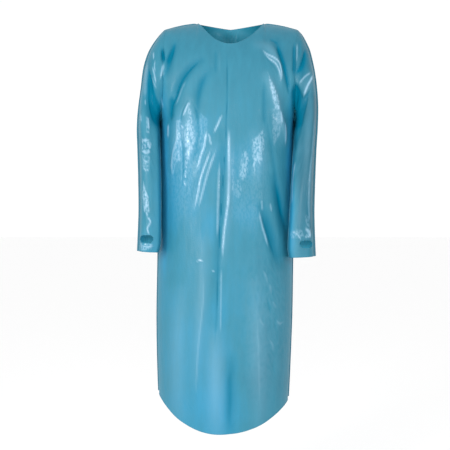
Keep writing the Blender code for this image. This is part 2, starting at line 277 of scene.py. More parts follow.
# Large folds, which the solids have too
FOLDS: dict[Cloth, tuple[Fold, ...]] = {}
FOLDS[Cloth.FRONT] = (
    # Drag lines between the neck and the right underarm
    Fold(-0.068, -0.122, -0.119, -0.176, -0.160, -0.290, 0.012, -0.0065),
    Fold(-0.041, -0.150, -0.070, -0.200, -0.075, -0.270, 0.013, -0.0040),
    Fold(-0.141, -0.076, -0.158, -0.124, -0.172, -0.170, 0.011, -0.0060),
    Fold(-0.100, -0.240, -0.107, -0.320, -0.098, -0.420, 0.019, 0.0070),
    Fold(-0.134, -0.270, -0.140, -0.340, -0.142, -0.420, 0.013, 0.0045),
    Fold(-0.020, -0.365, -0.062, -0.455, -0.088, -0.545, 0.013, 0.0055),
    # Drag lines between the neck and the left underarm
    Fold(0.092, -0.078, 0.142, -0.108, 0.160, -0.190, 0.012, 0.0060),
    Fold(0.146, -0.066, 0.158, -0.110, 0.172, -0.180, 0.011, -0.0060),
    Fold(0.118, -0.165, 0.146, -0.245, 0.168, -0.355, 0.014, 0.0075),
    Fold(0.085, -0.330, 0.098, -0.400, 0.086, -0.480, 0.018, 0.0045),
    Fold(0.138, -0.455, 0.160, -0.545, 0.176, -0.620, 0.013, -0.0060),
    Fold(0.104, -0.540, 0.128, -0.610, 0.152, -0.700, 0.013, -0.0075),
    # The soft roll beside the middle crease, and the long folds that fall to the hem
    Fold(0.013, -0.330, 0.008, -0.520, -0.008, -0.700, 0.012, 0.0055),
    Fold(-0.006, -0.330, -0.012, -0.560, -0.028, -0.820, 0.011, -0.0040),
    Fold(-0.055, -0.640, -0.068, -0.820, -0.084, -1.040, 0.018, 0.0045),
    Fold(-0.022, -0.900, -0.024, -1.030, -0.022, -1.180, 0.024, 0.0075),
    Fold(0.018, -0.960, 0.017, -1.060, 0.015, -1.180, 0.014, -0.0060),
    Fold(0.085, -0.760, 0.092, -0.950, 0.098, -1.180, 0.024, 0.0055),
    Fold(-0.130, -0.780, -0.134, -0.960, -0.130, -1.180, 0.022, 0.0050),
)
FOLDS[Cloth.SLEEVE_FRONT] = (
    # Folds where the sleeves hang from the shoulders, and at the elbows
    Fold(-0.219, -0.110, -0.222, -0.200, -0.206, -0.300, 0.013, -0.0080),
    Fold(-0.242, -0.110, -0.246, -0.200, -0.236, -0.300, 0.010, 0.0035),
    Fold(-0.250, -0.330, -0.232, -0.360, -0.212, -0.378, 0.013, -0.0035),
    Fold(0.236, -0.075, 0.224, -0.130, 0.206, -0.180, 0.012, -0.0070),
    Fold(0.250, -0.150, 0.238, -0.190, 0.222, -0.230, 0.011, 0.0040),
    Fold(0.246, -0.240, 0.236, -0.420, 0.236, -0.560, 0.011, 0.0030),
)
FOLDS[Cloth.BACK] = (
    # The back falls from the shoulder blades in long soft folds
    Fold(-0.024, -0.020, -0.026, -0.300, -0.036, -0.800, 0.018, -0.0065),
    Fold(0.040, -0.020, 0.044, -0.300, 0.054, -0.760, 0.018, -0.0065),
    Fold(0.008, -0.020, 0.006, -0.400, 0.006, -1.180, 0.020, 0.0075),
    Fold(-0.085, -0.180, -0.100, -0.560, -0.118, -1.180, 0.028, 0.0090),
    Fold(-0.060, -0.620, -0.068, -0.900, -0.070, -1.180, 0.022, -0.0080),
    Fold(0.100, -0.200, 0.106, -0.580, 0.116, -1.180, 0.028, 0.0085),
    Fold(0.058, -0.680, 0.064, -0.940, 0.062, -1.180, 0.022, -0.0080),
    Fold(-0.150, -0.110, -0.150, -0.200, -0.164, -0.300, 0.015, 0.0060),
    Fold(0.152, -0.110, 0.154, -0.200, 0.170, -0.300, 0.015, 0.0060),
)
FOLDS[Cloth.SLEEVE_BACK] = (
    Fold(-0.236, -0.120, -0.226, -0.200, -0.210, -0.290, 0.014, -0.0070),
    Fold(-0.245, -0.330, -0.225, -0.370, -0.205, -0.390, 0.013, 0.0045),
    Fold(0.246, -0.120, 0.236, -0.200, 0.220, -0.290, 0.014, -0.0070),
    Fold(0.255, -0.340, 0.235, -0.380, 0.212, -0.400, 0.013, 0.0045),
)

# Creases: thin lines and soft troughs between and beside the large folds
CREASES: dict[Cloth, tuple[Crease, ...]] = {}
CREASES[Cloth.FRONT] = (
    # Right shoulder and chest
    Crease(ROUND, 5.0, -2.6, ((-178, -84), (-177, -108), (-175, -134)), fade=0.3),
    Crease(SHARP, 2.6, 1.5, ((-172, -126), (-177, -150), (-182, -172)), fade=0.3, gloss=0.6),
    Crease(ROUND, 6.0, -1.8, ((-143, -76), (-160, -124), (-168, -151), (-180, -182)), fade=0.3),
    Crease(TENT, 3.6, -2.6, fade=0.18, path=(
        (-67, -122), (-98, -150), (-117, -173), (-131, -201), (-139, -226), (-150, -248), (-158, -273),
    )),
    Crease(TENT, 4.0, 1.3, ((-107, -176), (-122, -203), (-131, -228), (-143, -256)), gloss=0.3),
    Crease(ROUND, 8.0, -2.6, ((-152, -220), (-156, -256), (-154, -296))),
    Crease(ROUND, 6.0, -1.4, ((-44, -150), (-58, -172), (-69, -198), (-75, -225), (-77, -310)), fade=0.3),
    Crease(ROUND, 4.0, -1.2, ((-27, -86), (-26, -130), (-27, -170)), fade=0.3),
    Crease(TENT, 4.0, 0.7, ((-16, -90), (-15, -150), (-17, -172)), fade=0.3),
    # Highlights that fan out from below the right armhole
    Crease(ROUND, 13.0, 0.4, fade=0.35, path=(
        (-98, -238), (-97, -281), (-98, -337), (-102, -385), (-108, -424), (-113, -466),
    )),
    Crease(SHARP, 3.0, 1.6, ((-98, -240), (-108, -262), (-117, -286)), fade=0.2, gloss=1.0),
    Crease(SHARP, 2.6, 1.0, ((-116, -462), (-113, -474), (-108, -480)), gloss=0.8),
    Crease(TENT, 4.5, -1.8, fade=0.2, path=(
        (-98, -226), (-120, -273), (-123, -330), (-118, -380), (-119, -440), (-120, -490),
    )),
    Crease(TENT, 5.0, -1.8, ((-94, -232), (-78, -285), (-74, -337), (-84, -392), (-97, -436)), fade=0.2),
    Crease(TENT, 3.4, 1.6, fade=0.22, gloss=0.7, path=(
        (-135, -290), (-135, -351), (-144, -379), (-151, -421), (-148, -460),
    )),
    Crease(SHARP, 3.0, 1.4, ((-125, -305), (-119, -312), (-112, -319)), fade=0.3, gloss=1.0),
    Crease(TENT, 3.6, 1.4, ((-162, -296), (-162, -346)), fade=0.3, gloss=0.9),
    Crease(TENT, 4.0, 1.7, fade=0.2, gloss=1.0, path=(
        (-48, -316), (-53, -340), (-59, -372), (-68, -398), (-74, -420), (-84, -436),
    )),
    Crease(SHARP, 2.6, 1.2, ((-46, -330), (-38, -368)), gloss=0.9),
    Crease(TENT, 3.6, 1.8, fade=0.2, gloss=1.0, path=(
        (-36, -368), (-50, -407), (-61, -438), (-67, -458), (-74, -498), (-88, -556),
    )),
    Crease(TENT, 3.6, 1.5, fade=0.2, gloss=0.75, path=(
        (-22, -372), (-38, -416), (-50, -452), (-58, -482), (-68, -519), (-77, -552),
    )),
    Crease(ROUND, 3.4, -1.6, ((-30, -376), (-44, -414), (-56, -450), (-66, -490)), fade=0.2),
    Crease(SHARP, 3.2, 1.4, ((-7, -277), (-18, -303), (-33, -336)), gloss=1.0),
    Crease(TENT, 5.0, -1.2, ((-58, -330), (-72, -372), (-88, -402)), fade=0.3),
    # The middle crease and the roll beside it
    Crease(TENT, 3.2, -2.0, fade=0.08, path=(
        (6, -91), (6, -239), (3, -323), (-1, -393), (-6, -463), (-10, -533), (-14, -589), (-18, -687),
        (-21, -771), (-27, -938),
    )),
    Crease(TENT, 4.6, 2.0, fade=0.12, gloss=0.85, path=(
        (11, -310), (11, -400), (11, -470), (8, -530), (3, -565), (-2, -600), (-8, -690),
    )),
    Crease(TENT, 3.6, 1.0, ((-15, -400), (-18, -477), (-20, -560), (-21, -640)), fade=0.2, gloss=0.7),
    Crease(SHARP, 2.4, 0.9, ((-9, -700), (-11, -800), (-14, -900)), fade=0.2, gloss=0.4),
    # Left shoulder and chest
    Crease(ROUND, 4.0, -1.8, ((123, -58), (140, -66), (157, -72)), fade=0.3),
    Crease(ROUND, 6.0, -3.4, fade=0.22, path=(
        (149, -66), (156, -100), (166, -128), (174, -164), (180, -200), (183, -226),
    )),
    Crease(SHARP, 3.0, 1.9, fade=0.2, gloss=1.0, path=(
        (102, -90), (116, -105), (135, -116), (152, -130), (158, -150), (158, -188),
    )),
    Crease(TENT, 4.5, -1.4, ((107, -104), (128, -128), (144, -148), (150, -176))),
    Crease(SHARP, 2.6, 1.0, fade=0.3, gloss=0.9, path=(
        (104, -96), (121, -116), (144, -136), (153, -156), (157, -190),
    )),
    Crease(TENT, 10.0, 2.0, path=(
        (120, -160), (132, -198), (141, -234), (148, -262), (160, -290), (168, -320), (169, -365),
    )),
    Crease(SHARP, 3.0, 1.3, ((152, -262), (155, -280), (157, -304)), gloss=1.0),
    Crease(TENT, 3.4, 1.2, ((166, -288), (170, -318), (171, -368)), fade=0.3, gloss=0.9),
    Crease(ROUND, 6.0, -1.6, ((112, -176), (110, -240), (113, -320))),
    Crease(ROUND, 6.5, -1.3, ((115, -281), (132, -379), (146, -463), (155, -505), (166, -575), (175, -597))),
    Crease(ROUND, 3.6, -1.1, ((102, -547), (111, -581), (122, -617), (133, -653), (145, -692)), fade=0.3),
    Crease(TENT, 4.2, 1.4, ((94, -540), (102, -581), (113, -620), (124, -658)), gloss=0.7),
    Crease(ROUND, 5.0, -0.8, ((138, -457), (155, -510), (166, -561), (180, -625)), fade=0.3),
    Crease(TENT, 3.4, 1.2, ((102, -515), (106, -553)), gloss=0.5),
    Crease(SHARP, 2.6, 1.0, ((127, -526), (131, -553)), gloss=0.5),
    Crease(TENT, 14.0, 1.0, ((98, -316), (96, -370), (87, -440)), fade=0.35),
    Crease(TENT, 9.0, 1.0, ((62, -360), (56, -400), (50, -440), (44, -482)), fade=0.3),
    # Lower front
    Crease(SHARP, 2.6, 1.3, ((-82, -691), (-70, -688), (-58, -688)), fade=0.3, gloss=0.9),
    Crease(SHARP, 2.6, 1.0, ((-35, -714), (-30, -720)), fade=0.35, gloss=0.8),
    Crease(TENT, 4.6, 1.1, ((104, -712), (113, -730), (121, -758)), fade=0.35, gloss=0.14),
    Crease(TENT, 4.2, 0.9, ((122, -750), (127, -764), (130, -788)), fade=0.35, gloss=0.16),
    Crease(TENT, 4.4, 1.0, ((129, -800), (139, -812), (144, -828)), fade=0.35, gloss=0.12),
    Crease(SHARP, 3.2, 1.0, ((143, -853), (152, -866), (168, -862)), fade=0.35, gloss=0.28),
    Crease(TENT, 4.4, 0.9, ((94, -846), (101, -862), (110, -872)), fade=0.35, gloss=0.12),
    Crease(TENT, 4.4, -1.0, ((112, -780), (122, -812), (128, -848)), fade=0.35),
    Crease(TENT, 4.0, 0.8, ((120, -905), (131, -922), (136, -948)), fade=0.35, gloss=0.15),
    Crease(SHARP, 3.0, 0.9, ((-55, -701), (-60, -799), (-74, -938), (-82, -1078)), gloss=0.2),
    Crease(SHARP, 3.0, 0.4, ((86, -799), (92, -966), (95, -1134)), fade=0.35, gloss=0.1),
    Crease(STEP, 4.0, 0.8, ((18, -990), (18, -1060), (16, -1150)), fade=0.2),
)
CREASES[Cloth.SLEEVE_FRONT] = (
    # The right sleeve: the deep valley towards the body, and its highlights
    Crease(SHARP, 3.0, 1.2, ((-206, -94), (-203, -119)), gloss=0.8),
    Crease(SHARP, 3.4, -3.0, ((-179, -76), (-178, -100), (-172, -126))),
    Crease(ROUND, 5.5, -2.4, ((-140, -62), (-150, -90), (-160, -112), (-171, -136))),
    Crease(SHARP, 2.8, 1.3, ((-175, -128), (-180, -150), (-184, -178)), gloss=0.6),
    Crease(SHARP, 2.8, 1.4, ((-210, -164), (-203, -184), (-192, -206)), gloss=0.4),
    Crease(SHARP, 2.6, 1.2, ((-184, -222), (-179, -242), (-177, -258)), gloss=0.3),
    Crease(SHARP, 2.4, 1.0, ((-228, -230), (-226, -250)), fade=0.3, gloss=0.8),
    Crease(SHARP, 2.4, 1.0, ((-238, -274), (-236, -300)), fade=0.3, gloss=0.7),
    Crease(SHARP, 2.4, 1.0, ((-198, -118), (-200, -142), (-196, -158)), fade=0.3, gloss=0.7),
    Crease(SHARP, 2.6, 1.2, ((-208, -135), (-200, -162), (-195, -194)), gloss=0.7),
    Crease(ROUND, 10.0, -5.0, fade=0.22, path=(
        (-217, -146), (-211, -192), (-203, -234), (-195, -277), (-190, -322),
    )),
    Crease(TENT, 7.0, 1.4, ((-226, -112), (-231, -170), (-229, -236)), gloss=0.4),
    Crease(TENT, 4.0, 1.5, ((-217, -280), (-214, -324)), gloss=0.9),
    Crease(SHARP, 3.0, 1.2, ((-240, -344), (-224, -352), (-208, -348)), fade=0.3, gloss=1.0),
    Crease(SHARP, 3.0, 1.2, ((-238, -378), (-224, -386), (-206, -384)), fade=0.3, gloss=1.0),
    Crease(SHARP, 3.0, -1.6, ((-238, -362), (-222, -368), (-206, -366)), fade=0.3),
    Crease(SHARP, 2.8, 1.2, ((-232, -400), (-220, -412), (-210, -406)), fade=0.3, gloss=0.9),
    Crease(SHARP, 2.8, 1.2, ((-230, -424), (-220, -436), (-209, -430)), fade=0.3, gloss=0.9),
    Crease(TENT, 9.0, 1.4, ((-226, -466), (-221, -510), (-216, -568))),
    Crease(SHARP, 2.8, 1.4, ((-220, -562), (-208, -580), (-216, -600), (-209, -620)), fade=0.2, gloss=1.0),
    Crease(SHARP, 2.8, 0.9, ((-235, -645), (-218, -650), (-199, -648)), gloss=0.9),
    # The left sleeve
    Crease(ROUND, 6.0, -4.0, ((235, -82), (226, -118), (214, -140), (197, -166)), fade=0.22),
    Crease(ROUND, 5.0, -3.4, ((198, -62), (197, -110), (196, -172))),
    Crease(SHARP, 2.6, -1.6, ((214, -56), (214, -84), (211, -114))),
    Crease(SHARP, 2.6, 1.2, ((206, -66), (205, -96), (203, -130)), gloss=0.5),
    Crease(TENT, 4.0, 1.9, ((249, -160), (242, -176), (234, -192), (223, -226)), fade=0.2, gloss=1.0),
    Crease(SHARP, 2.8, 1.3, ((245, -154), (223, -172), (208, -190)), gloss=0.9),
    Crease(ROUND, 10.0, -4.6, ((199, -180), (201, -220), (204, -270), (206, -330)), fade=0.22),
    Crease(STEP, 3.0, 1.3, fade=0.12, gloss=0.3, path=(
        (255, -272), (251, -320), (245, -376), (237, -439), (234, -490), (233, -532), (239, -600),
    )),
    Crease(SHARP, 2.6, 1.2, ((206, -404), (197, -461), (194, -536)), fade=0.2, gloss=0.9),
    Crease(TENT, 6.0, 1.6, ((222, -597), (232, -606), (240, -624)), gloss=0.8),
    Crease(SHARP, 2.4, 1.0, ((191, -604), (203, -616), (213, -632)), gloss=0.8),
)
CREASES[Cloth.BACK] = (
    # The back: pleats under the neck, and drag lines from the armholes
    Crease(ROUND, 2.6, -2.2, ((5, 8), (6, -60), (7, -150)), fade=0.12),
    Crease(ROUND, 2.6, -2.2, ((17, 8), (17, -70), (16, -170)), fade=0.12),
    Crease(ROUND, 2.6, -2.0, ((27, 8), (28, -50), (29, -130)), fade=0.12),
    Crease(ROUND, 2.6, -2.0, ((38, 8), (38, -60), (40, -140)), fade=0.12),
    Crease(TENT, 3.2, -1.8, ((2, -60), (3, -300), (-4, -600), (-10, -900), (-12, -1060)), fade=0.1),
    Crease(TENT, 4.0, -2.2, ((-150, -240), (-112, -206), (-70, -190)), fade=0.2),
    Crease(TENT, 4.0, 1.6, ((-160, -275), (-120, -250), (-84, -240)), gloss=0.7),
    Crease(TENT, 4.0, -2.2, ((158, -250), (120, -220), (82, -206)), fade=0.2),
    Crease(TENT, 4.0, 1.6, ((166, -290), (130, -262), (94, -255)), gloss=0.7),
    Crease(TENT, 9.0, 1.8, ((-90, -300), (-96, -380), (-104, -470)), fade=0.3, gloss=0.8),
    Crease(TENT, 7.0, 1.6, ((84, -320), (92, -400), (98, -500)), fade=0.3, gloss=0.8),
    Crease(TENT, 4.0, 1.5, ((-40, -360), (-54, -430), (-60, -520)), gloss=0.8),
    Crease(TENT, 4.0, 1.4, ((44, -380), (52, -450), (56, -540)), gloss=0.8),
    Crease(ROUND, 5.0, -2.0, ((-108, -560), (-126, -640), (-150, -700))),
    Crease(ROUND, 5.0, -2.0, ((112, -590), (130, -660), (156, -720))),
)
CREASES[Cloth.SLEEVE_BACK] = (
    Crease(ROUND, 9.0, -4.0, ((-214, -150), (-206, -220), (-196, -310)), fade=0.22),
    Crease(ROUND, 9.0, -4.0, ((222, -150), (212, -220), (206, -310)), fade=0.22),
    Crease(TENT, 6.0, 1.6, ((-226, -430), (-220, -500), (-216, -570)), gloss=0.8),
    Crease(TENT, 6.0, 1.6, ((232, -420), (222, -500), (220, -580)), gloss=0.8),
    Crease(SHARP, 3.0, 1.4, ((-232, -200), (-222, -250), (-218, -310)), gloss=0.8),
    Crease(SHARP, 3.0, 1.4, ((240, -210), (232, -250), (226, -320)), gloss=0.8),
)

# Glossy facets with painted sheen, and shallow hollows and a weld strip with painted shade, all outlined
PATCHES: dict[Cloth, tuple[Patch, ...]] = {}
PATCHES[Cloth.FRONT] = (
    # The main wedge below the right armhole, and the dimmer facet beside it
    Patch(gloss=0.78, height=0.4, outline=(
        (-98, -240), (-94, -273), (-91, -301), (-84, -334), (-84, -374), (-92, -379), (-96, -396),
        (-105, -418), (-110, -457), (-116, -455), (-112, -415), (-110, -379), (-113, -351), (-110, -318),
        (-102, -287), (-101, -262),
    )),
    Patch(gloss=0.45, tone=0.1, height=0.5, outline=(
        (-136, -295), (-124, -290), (-116, -309), (-114, -340), (-121, -379), (-126, -407), (-133, -413),
        (-141, -421), (-148, -456), (-151, -421), (-144, -379), (-134, -351),
    )),
    Patch(((-133, -378), (-126, -380), (-126, -408), (-132, -410)), gloss=0.8, height=0.3),
    Patch(gloss=0.22, tone=0.2, height=0.3, outline=(
        (-71, -273), (-49, -292), (-52, -346), (-57, -379), (-66, -393), (-71, -351),
    )),
    # Painted sheen and light round the highlights, with a little gloss
    Patch(gloss=0.13, tone=0.1, height=0.2, edge=60.0, outline=(
        (-88, -262), (-60, -300), (-56, -352), (-62, -430), (-78, -540), (-130, -570), (-162, -450),
        (-150, -350), (-128, -300), (-104, -300),
    )),
    Patch(gloss=0.1, tone=0.1, height=0.2, edge=60.0, outline=(
        (116, -330), (64, -352), (22, -400), (20, -560), (60, -600), (104, -560), (116, -410),
    )),
    # The left side of the chest
    Patch(gloss=0.9, height=0.5, outline=(
        (119, -159), (127, -178), (141, -209), (150, -239), (150, -264), (140, -265), (134, -239),
        (127, -200),
    )),
    Patch(gloss=0.35, height=0.3, outline=(
        (133, -262), (152, -262), (158, -295), (152, -337), (138, -365), (133, -323),
    )),
    Patch(gloss=0.65, height=0.3, outline=(
        (108, -321), (110, -357), (105, -402), (96, -422), (88, -407), (82, -450), (79, -441), (76, -385),
        (77, -351), (92, -340), (102, -326),
    )),
    Patch(gloss=0.6, height=0.3, outline=(
        (57, -377), (66, -407), (63, -441), (52, -465), (41, -457), (43, -421), (49, -393),
    )),
    Patch(((38, -460), (49, -491), (38, -515), (24, -506), (24, -470)), gloss=0.3, height=0.2),
    Patch(((18, -405), (24, -405), (24, -492), (19, -494)), gloss=0.35, height=0.2),
)
PATCHES[Cloth.SLEEVE_FRONT] = (
    # The right sleeve
    Patch(gloss=0.9, height=0.5, outline=(
        (-237, -351), (-220, -345), (-208, -359), (-210, -385), (-222, -391), (-234, -382),
    )),
    Patch(((-234, -393), (-211, -396), (-211, -430), (-225, -439), (-234, -422)), gloss=0.4, height=0.3),
    Patch(gloss=0.85, height=0.5, outline=(
        (-228, -468), (-222, -490), (-213, -512), (-211, -552), (-217, -565), (-227, -547), (-231, -512),
    )),
    Patch(((-240, -640), (-203, -643), (-206, -657), (-234, -660)), gloss=0.6, height=0.3),
    Patch(((-223, -283), (-211, -286), (-213, -331), (-221, -328)), gloss=0.5, height=0.3),
    # The hollows between the sleeves and the body, sunk in and with painted shade
    Patch(tone=-0.2, height=-2.4, edge=8.0, outline=(
        (-222, -148), (-213, -172), (-203, -205), (-189, -240), (-181, -264), (-184, -300), (-187, -360),
        (-193, -372), (-197, -330), (-204, -283), (-214, -240), (-221, -195),
    )),
    Patch(tone=-0.3, height=-2.8, edge=7.0, outline=(
        (194, -186), (206, -192), (222, -228), (240, -208), (232, -244), (222, -283), (214, -332),
        (205, -380), (196, -350),
    )),
    # The left sleeve, with painted shade in a strip along its outer weld
    Patch(((240, -599), (242, -624), (222, -625), (231, -612)), gloss=1.0, height=0.5),
    Patch(((189, -606), (214, -603), (220, -623), (191, -626)), gloss=0.35, height=0.3),
    Patch(((223, -560), (238, -565), (236, -598), (226, -590)), gloss=0.3, height=0.3),
    Patch(tone=-0.8, height=-0.6, edge=20.0, outline=(
        (257, -220), (272, -234), (272, -376), (270, -490), (268, -532), (268, -609), (243, -609),
        (240, -561), (233, -532), (235, -461), (245, -376), (251, -320),
    )),
)
PATCHES[Cloth.BACK] = (
    # The back
    Patch(gloss=0.9, height=0.6, outline=(
        (88, -262), (96, -300), (104, -352), (98, -402), (88, -446), (84, -400), (78, -352), (84, -300),
    )),
    Patch(gloss=0.45, height=0.4, outline=(
        (-102, -296), (-90, -322), (-84, -380), (-96, -430), (-112, -470), (-110, -410), (-114, -350),
    )),
    Patch(((-46, -330), (-34, -372), (-44, -440), (-60, -486), (-56, -410)), gloss=0.6, height=0.3),
)
PATCHES[Cloth.SLEEVE_BACK] = (
    Patch(((-232, -350), (-214, -346), (-208, -380), (-226, -392)), gloss=0.9, height=0.5),
    Patch(((236, -430), (224, -420), (216, -480), (222, -540), (230, -500)), gloss=0.9, height=0.5),
)

# Patches where the film is crushed into small facets
CRINKLES = (
    Crinkle(Cloth.FRONT, -110, -360, 60, 95, 80, 17, 2.8, 0.40),
    Crinkle(Cloth.FRONT, -45, -420, 50, 90, 70, 16, 2.8, 0.40),
    Crinkle(Cloth.FRONT, -155, -190, 26, 60, 100, 14, 2.2, 0.40),
    Crinkle(Cloth.FRONT, 90, -400, 50, 80, 80, 13, 1.5, 0.35),
    Crinkle(Cloth.FRONT, 148, -330, 36, 80, 80, 14, 2.2, 0.45),
    Crinkle(Cloth.FRONT, 10, -560, 160, 110, 88, 18, 4.0, 0.30),
    Crinkle(Cloth.FRONT, 145, -830, 45, 90, 60, 16, 1.6, 0.55),
    Crinkle(Cloth.FRONT, -110, -1090, 50, 40, 20, 15, 1.6, 0.40),
    Crinkle(Cloth.FRONT, 0, -880, 170, 230, 87, 30, 4.0, 0.30),
    Crinkle(Cloth.BACK, 0, -420, 170, 260, 85, 22, 2.8, 0.45),
    Crinkle(Cloth.BACK, 0, -900, 170, 260, 85, 28, 3.4, 0.40),
    Crinkle(Cloth.BACK, -140, -230, 40, 80, 100, 15, 2.0, 0.50),
    Crinkle(Cloth.BACK, 150, -230, 40, 80, 80, 15, 2.0, 0.50),
    Crinkle(Cloth.FRONT, 115, -790, 60, 130, 70, 13, 2.8, 1.30),
    Crinkle(Cloth.FRONT, 115, -960, 64, 120, 58, 13, 2.4, 1.10),
    Crinkle(Cloth.SLEEVE_FRONT, -176, -168, 20, 18, 20, 9, 1.8, 0.90),
    Crinkle(Cloth.SLEEVE_FRONT, -220, -370, 30, 32, 20, 13, 2.0, 1.00),
    Crinkle(Cloth.SLEEVE_FRONT, -218, -420, 32, 34, 70, 15, 2.0, 0.80),
    Crinkle(Cloth.SLEEVE_FRONT, -215, -550, 34, 75, 85, 15, 2.6, 0.80),
    Crinkle(Cloth.SLEEVE_FRONT, -215, -650, 34, 16, 10, 12, 1.6, 0.80),
    Crinkle(Cloth.SLEEVE_FRONT, -215, -190, 34, 90, 85, 17, 2.6, 0.55),
    Crinkle(Cloth.SLEEVE_FRONT, 232, -200, 34, 90, 60, 17, 2.4, 0.55),
    Crinkle(Cloth.SLEEVE_FRONT, 222, -400, 34, 100, 85, 15, 2.8, 0.65),
    Crinkle(Cloth.SLEEVE_FRONT, 215, -610, 34, 50, 75, 14, 2.0, 0.85),
    Crinkle(Cloth.SLEEVE_BACK, -220, -380, 34, 60, 20, 15, 2.0, 0.90),
    Crinkle(Cloth.SLEEVE_BACK, -215, -570, 34, 90, 80, 16, 2.4, 0.75),
    Crinkle(Cloth.SLEEVE_BACK, 230, -390, 34, 60, 160, 15, 2.0, 0.90),
    Crinkle(Cloth.SLEEVE_BACK, 222, -580, 34, 90, 80, 16, 2.4, 0.75),
    Crinkle(Cloth.SLEEVE_BACK, -225, -180, 34, 90, 80, 18, 2.4, 0.60),
    Crinkle(Cloth.SLEEVE_BACK, 240, -180, 34, 90, 80, 18, 2.4, 0.60),
)

# Painted light and shade, darker and greener below 0 and lighter and bluer above 0
PAINTED_LIGHTS: dict[Face, tuple[PaintedLight, ...]] = {}
PAINTED_LIGHTS[Face.FRONT] = (
    PaintedLight(0, -60, 300, 130, -0.20),
    PaintedLight(-100, -390, 70, 100, 0.35),
    PaintedLight(70, -400, 60, 80, 0.10),
    PaintedLight(-105, -550, 45, 50, 0.20),
    PaintedLight(-155, -540, 30, 90, 0.45),
    PaintedLight(-40, -590, 30, 50, 0.40),
    PaintedLight(65, -565, 50, 50, 0.30),
    PaintedLight(-58, -770, 40, 60, -0.30),
    PaintedLight(30, -440, 40, 90, 0.10),
    PaintedLight(-215, -600, 30, 70, -0.25),
    PaintedLight(-50, -960, 120, 260, 0.35),
    PaintedLight(-5, -1110, 90, 90, 0.60),
    PaintedLight(66, -1070, 50, 110, -0.45),
    PaintedLight(165, -760, 80, 420, -0.32),
    PaintedLight(244, -330, 42, 260, -0.70),
    PaintedLight(225, -520, 34, 140, -0.60),
    # Painted light in the narrow hollows between the sleeves and the body
    PaintedLight(-176, -470, 12, 200, 1.80),
    PaintedLight(189, -470, 12, 200, 2.20),
    PaintedLight(190, -90, 90, 70, -0.25),
    PaintedLight(-215, -640, 40, 60, 0.30),
)
PAINTED_LIGHTS[Face.BACK] = (
    PaintedLight(0, -60, 300, 130, -0.20),
    PaintedLight(60, -940, 120, 280, 0.35),
    PaintedLight(-160, -760, 70, 420, -0.40),
    PaintedLight(-236, -330, 50, 250, -0.50),
)


def smooth(keys: Sequence[float], values: Sequence[float], at: Array) -> Array:
    """Values between a table's rows, by a smooth curve through them.

    Args:
        keys: The rows' places, all rising or all falling.
        values: The rows' values.
        at: The places to read.

    Returns:
        One value for each place.
    """
    keys, values = np.asarray(keys, float), np.asarray(values, float)
    if keys[0] > keys[-1]:
        keys, values = keys[::-1], values[::-1]
    slopes = np.gradient(values, keys)
    at = np.clip(np.asarray(at, float), keys[0], keys[-1])
    i = np.clip(np.searchsorted(keys, at) - 1, 0, len(keys) - 2)
    step = keys[i + 1] - keys[i]
    t = (at - keys[i]) / step
    return (
        (2 * t**3 - 3 * t**2 + 1) * values[i]
        + (t**3 - 2 * t**2 + t) * step * slopes[i]
        + (3 * t**2 - 2 * t**3) * values[i + 1]
        + (t**3 - t**2) * step * slopes[i + 1]
    )


def column(table: Sequence[NamedTuple], name: str) -> list[float]:
    """One named column of a table."""
    return [getattr(row, name) for row in table]


def ease(t: Array) -> Array:
    """Nought to one, with a level start and end."""
    t = np.clip(t, 0.0, 1.0)
    return t * t * (3 - 2 * t)


def lean(z: Array) -> Array:
    """Sideways place of the garment's middle at each height."""
    return smooth(column(LEAN, "z"), column(LEAN, "x"), z)


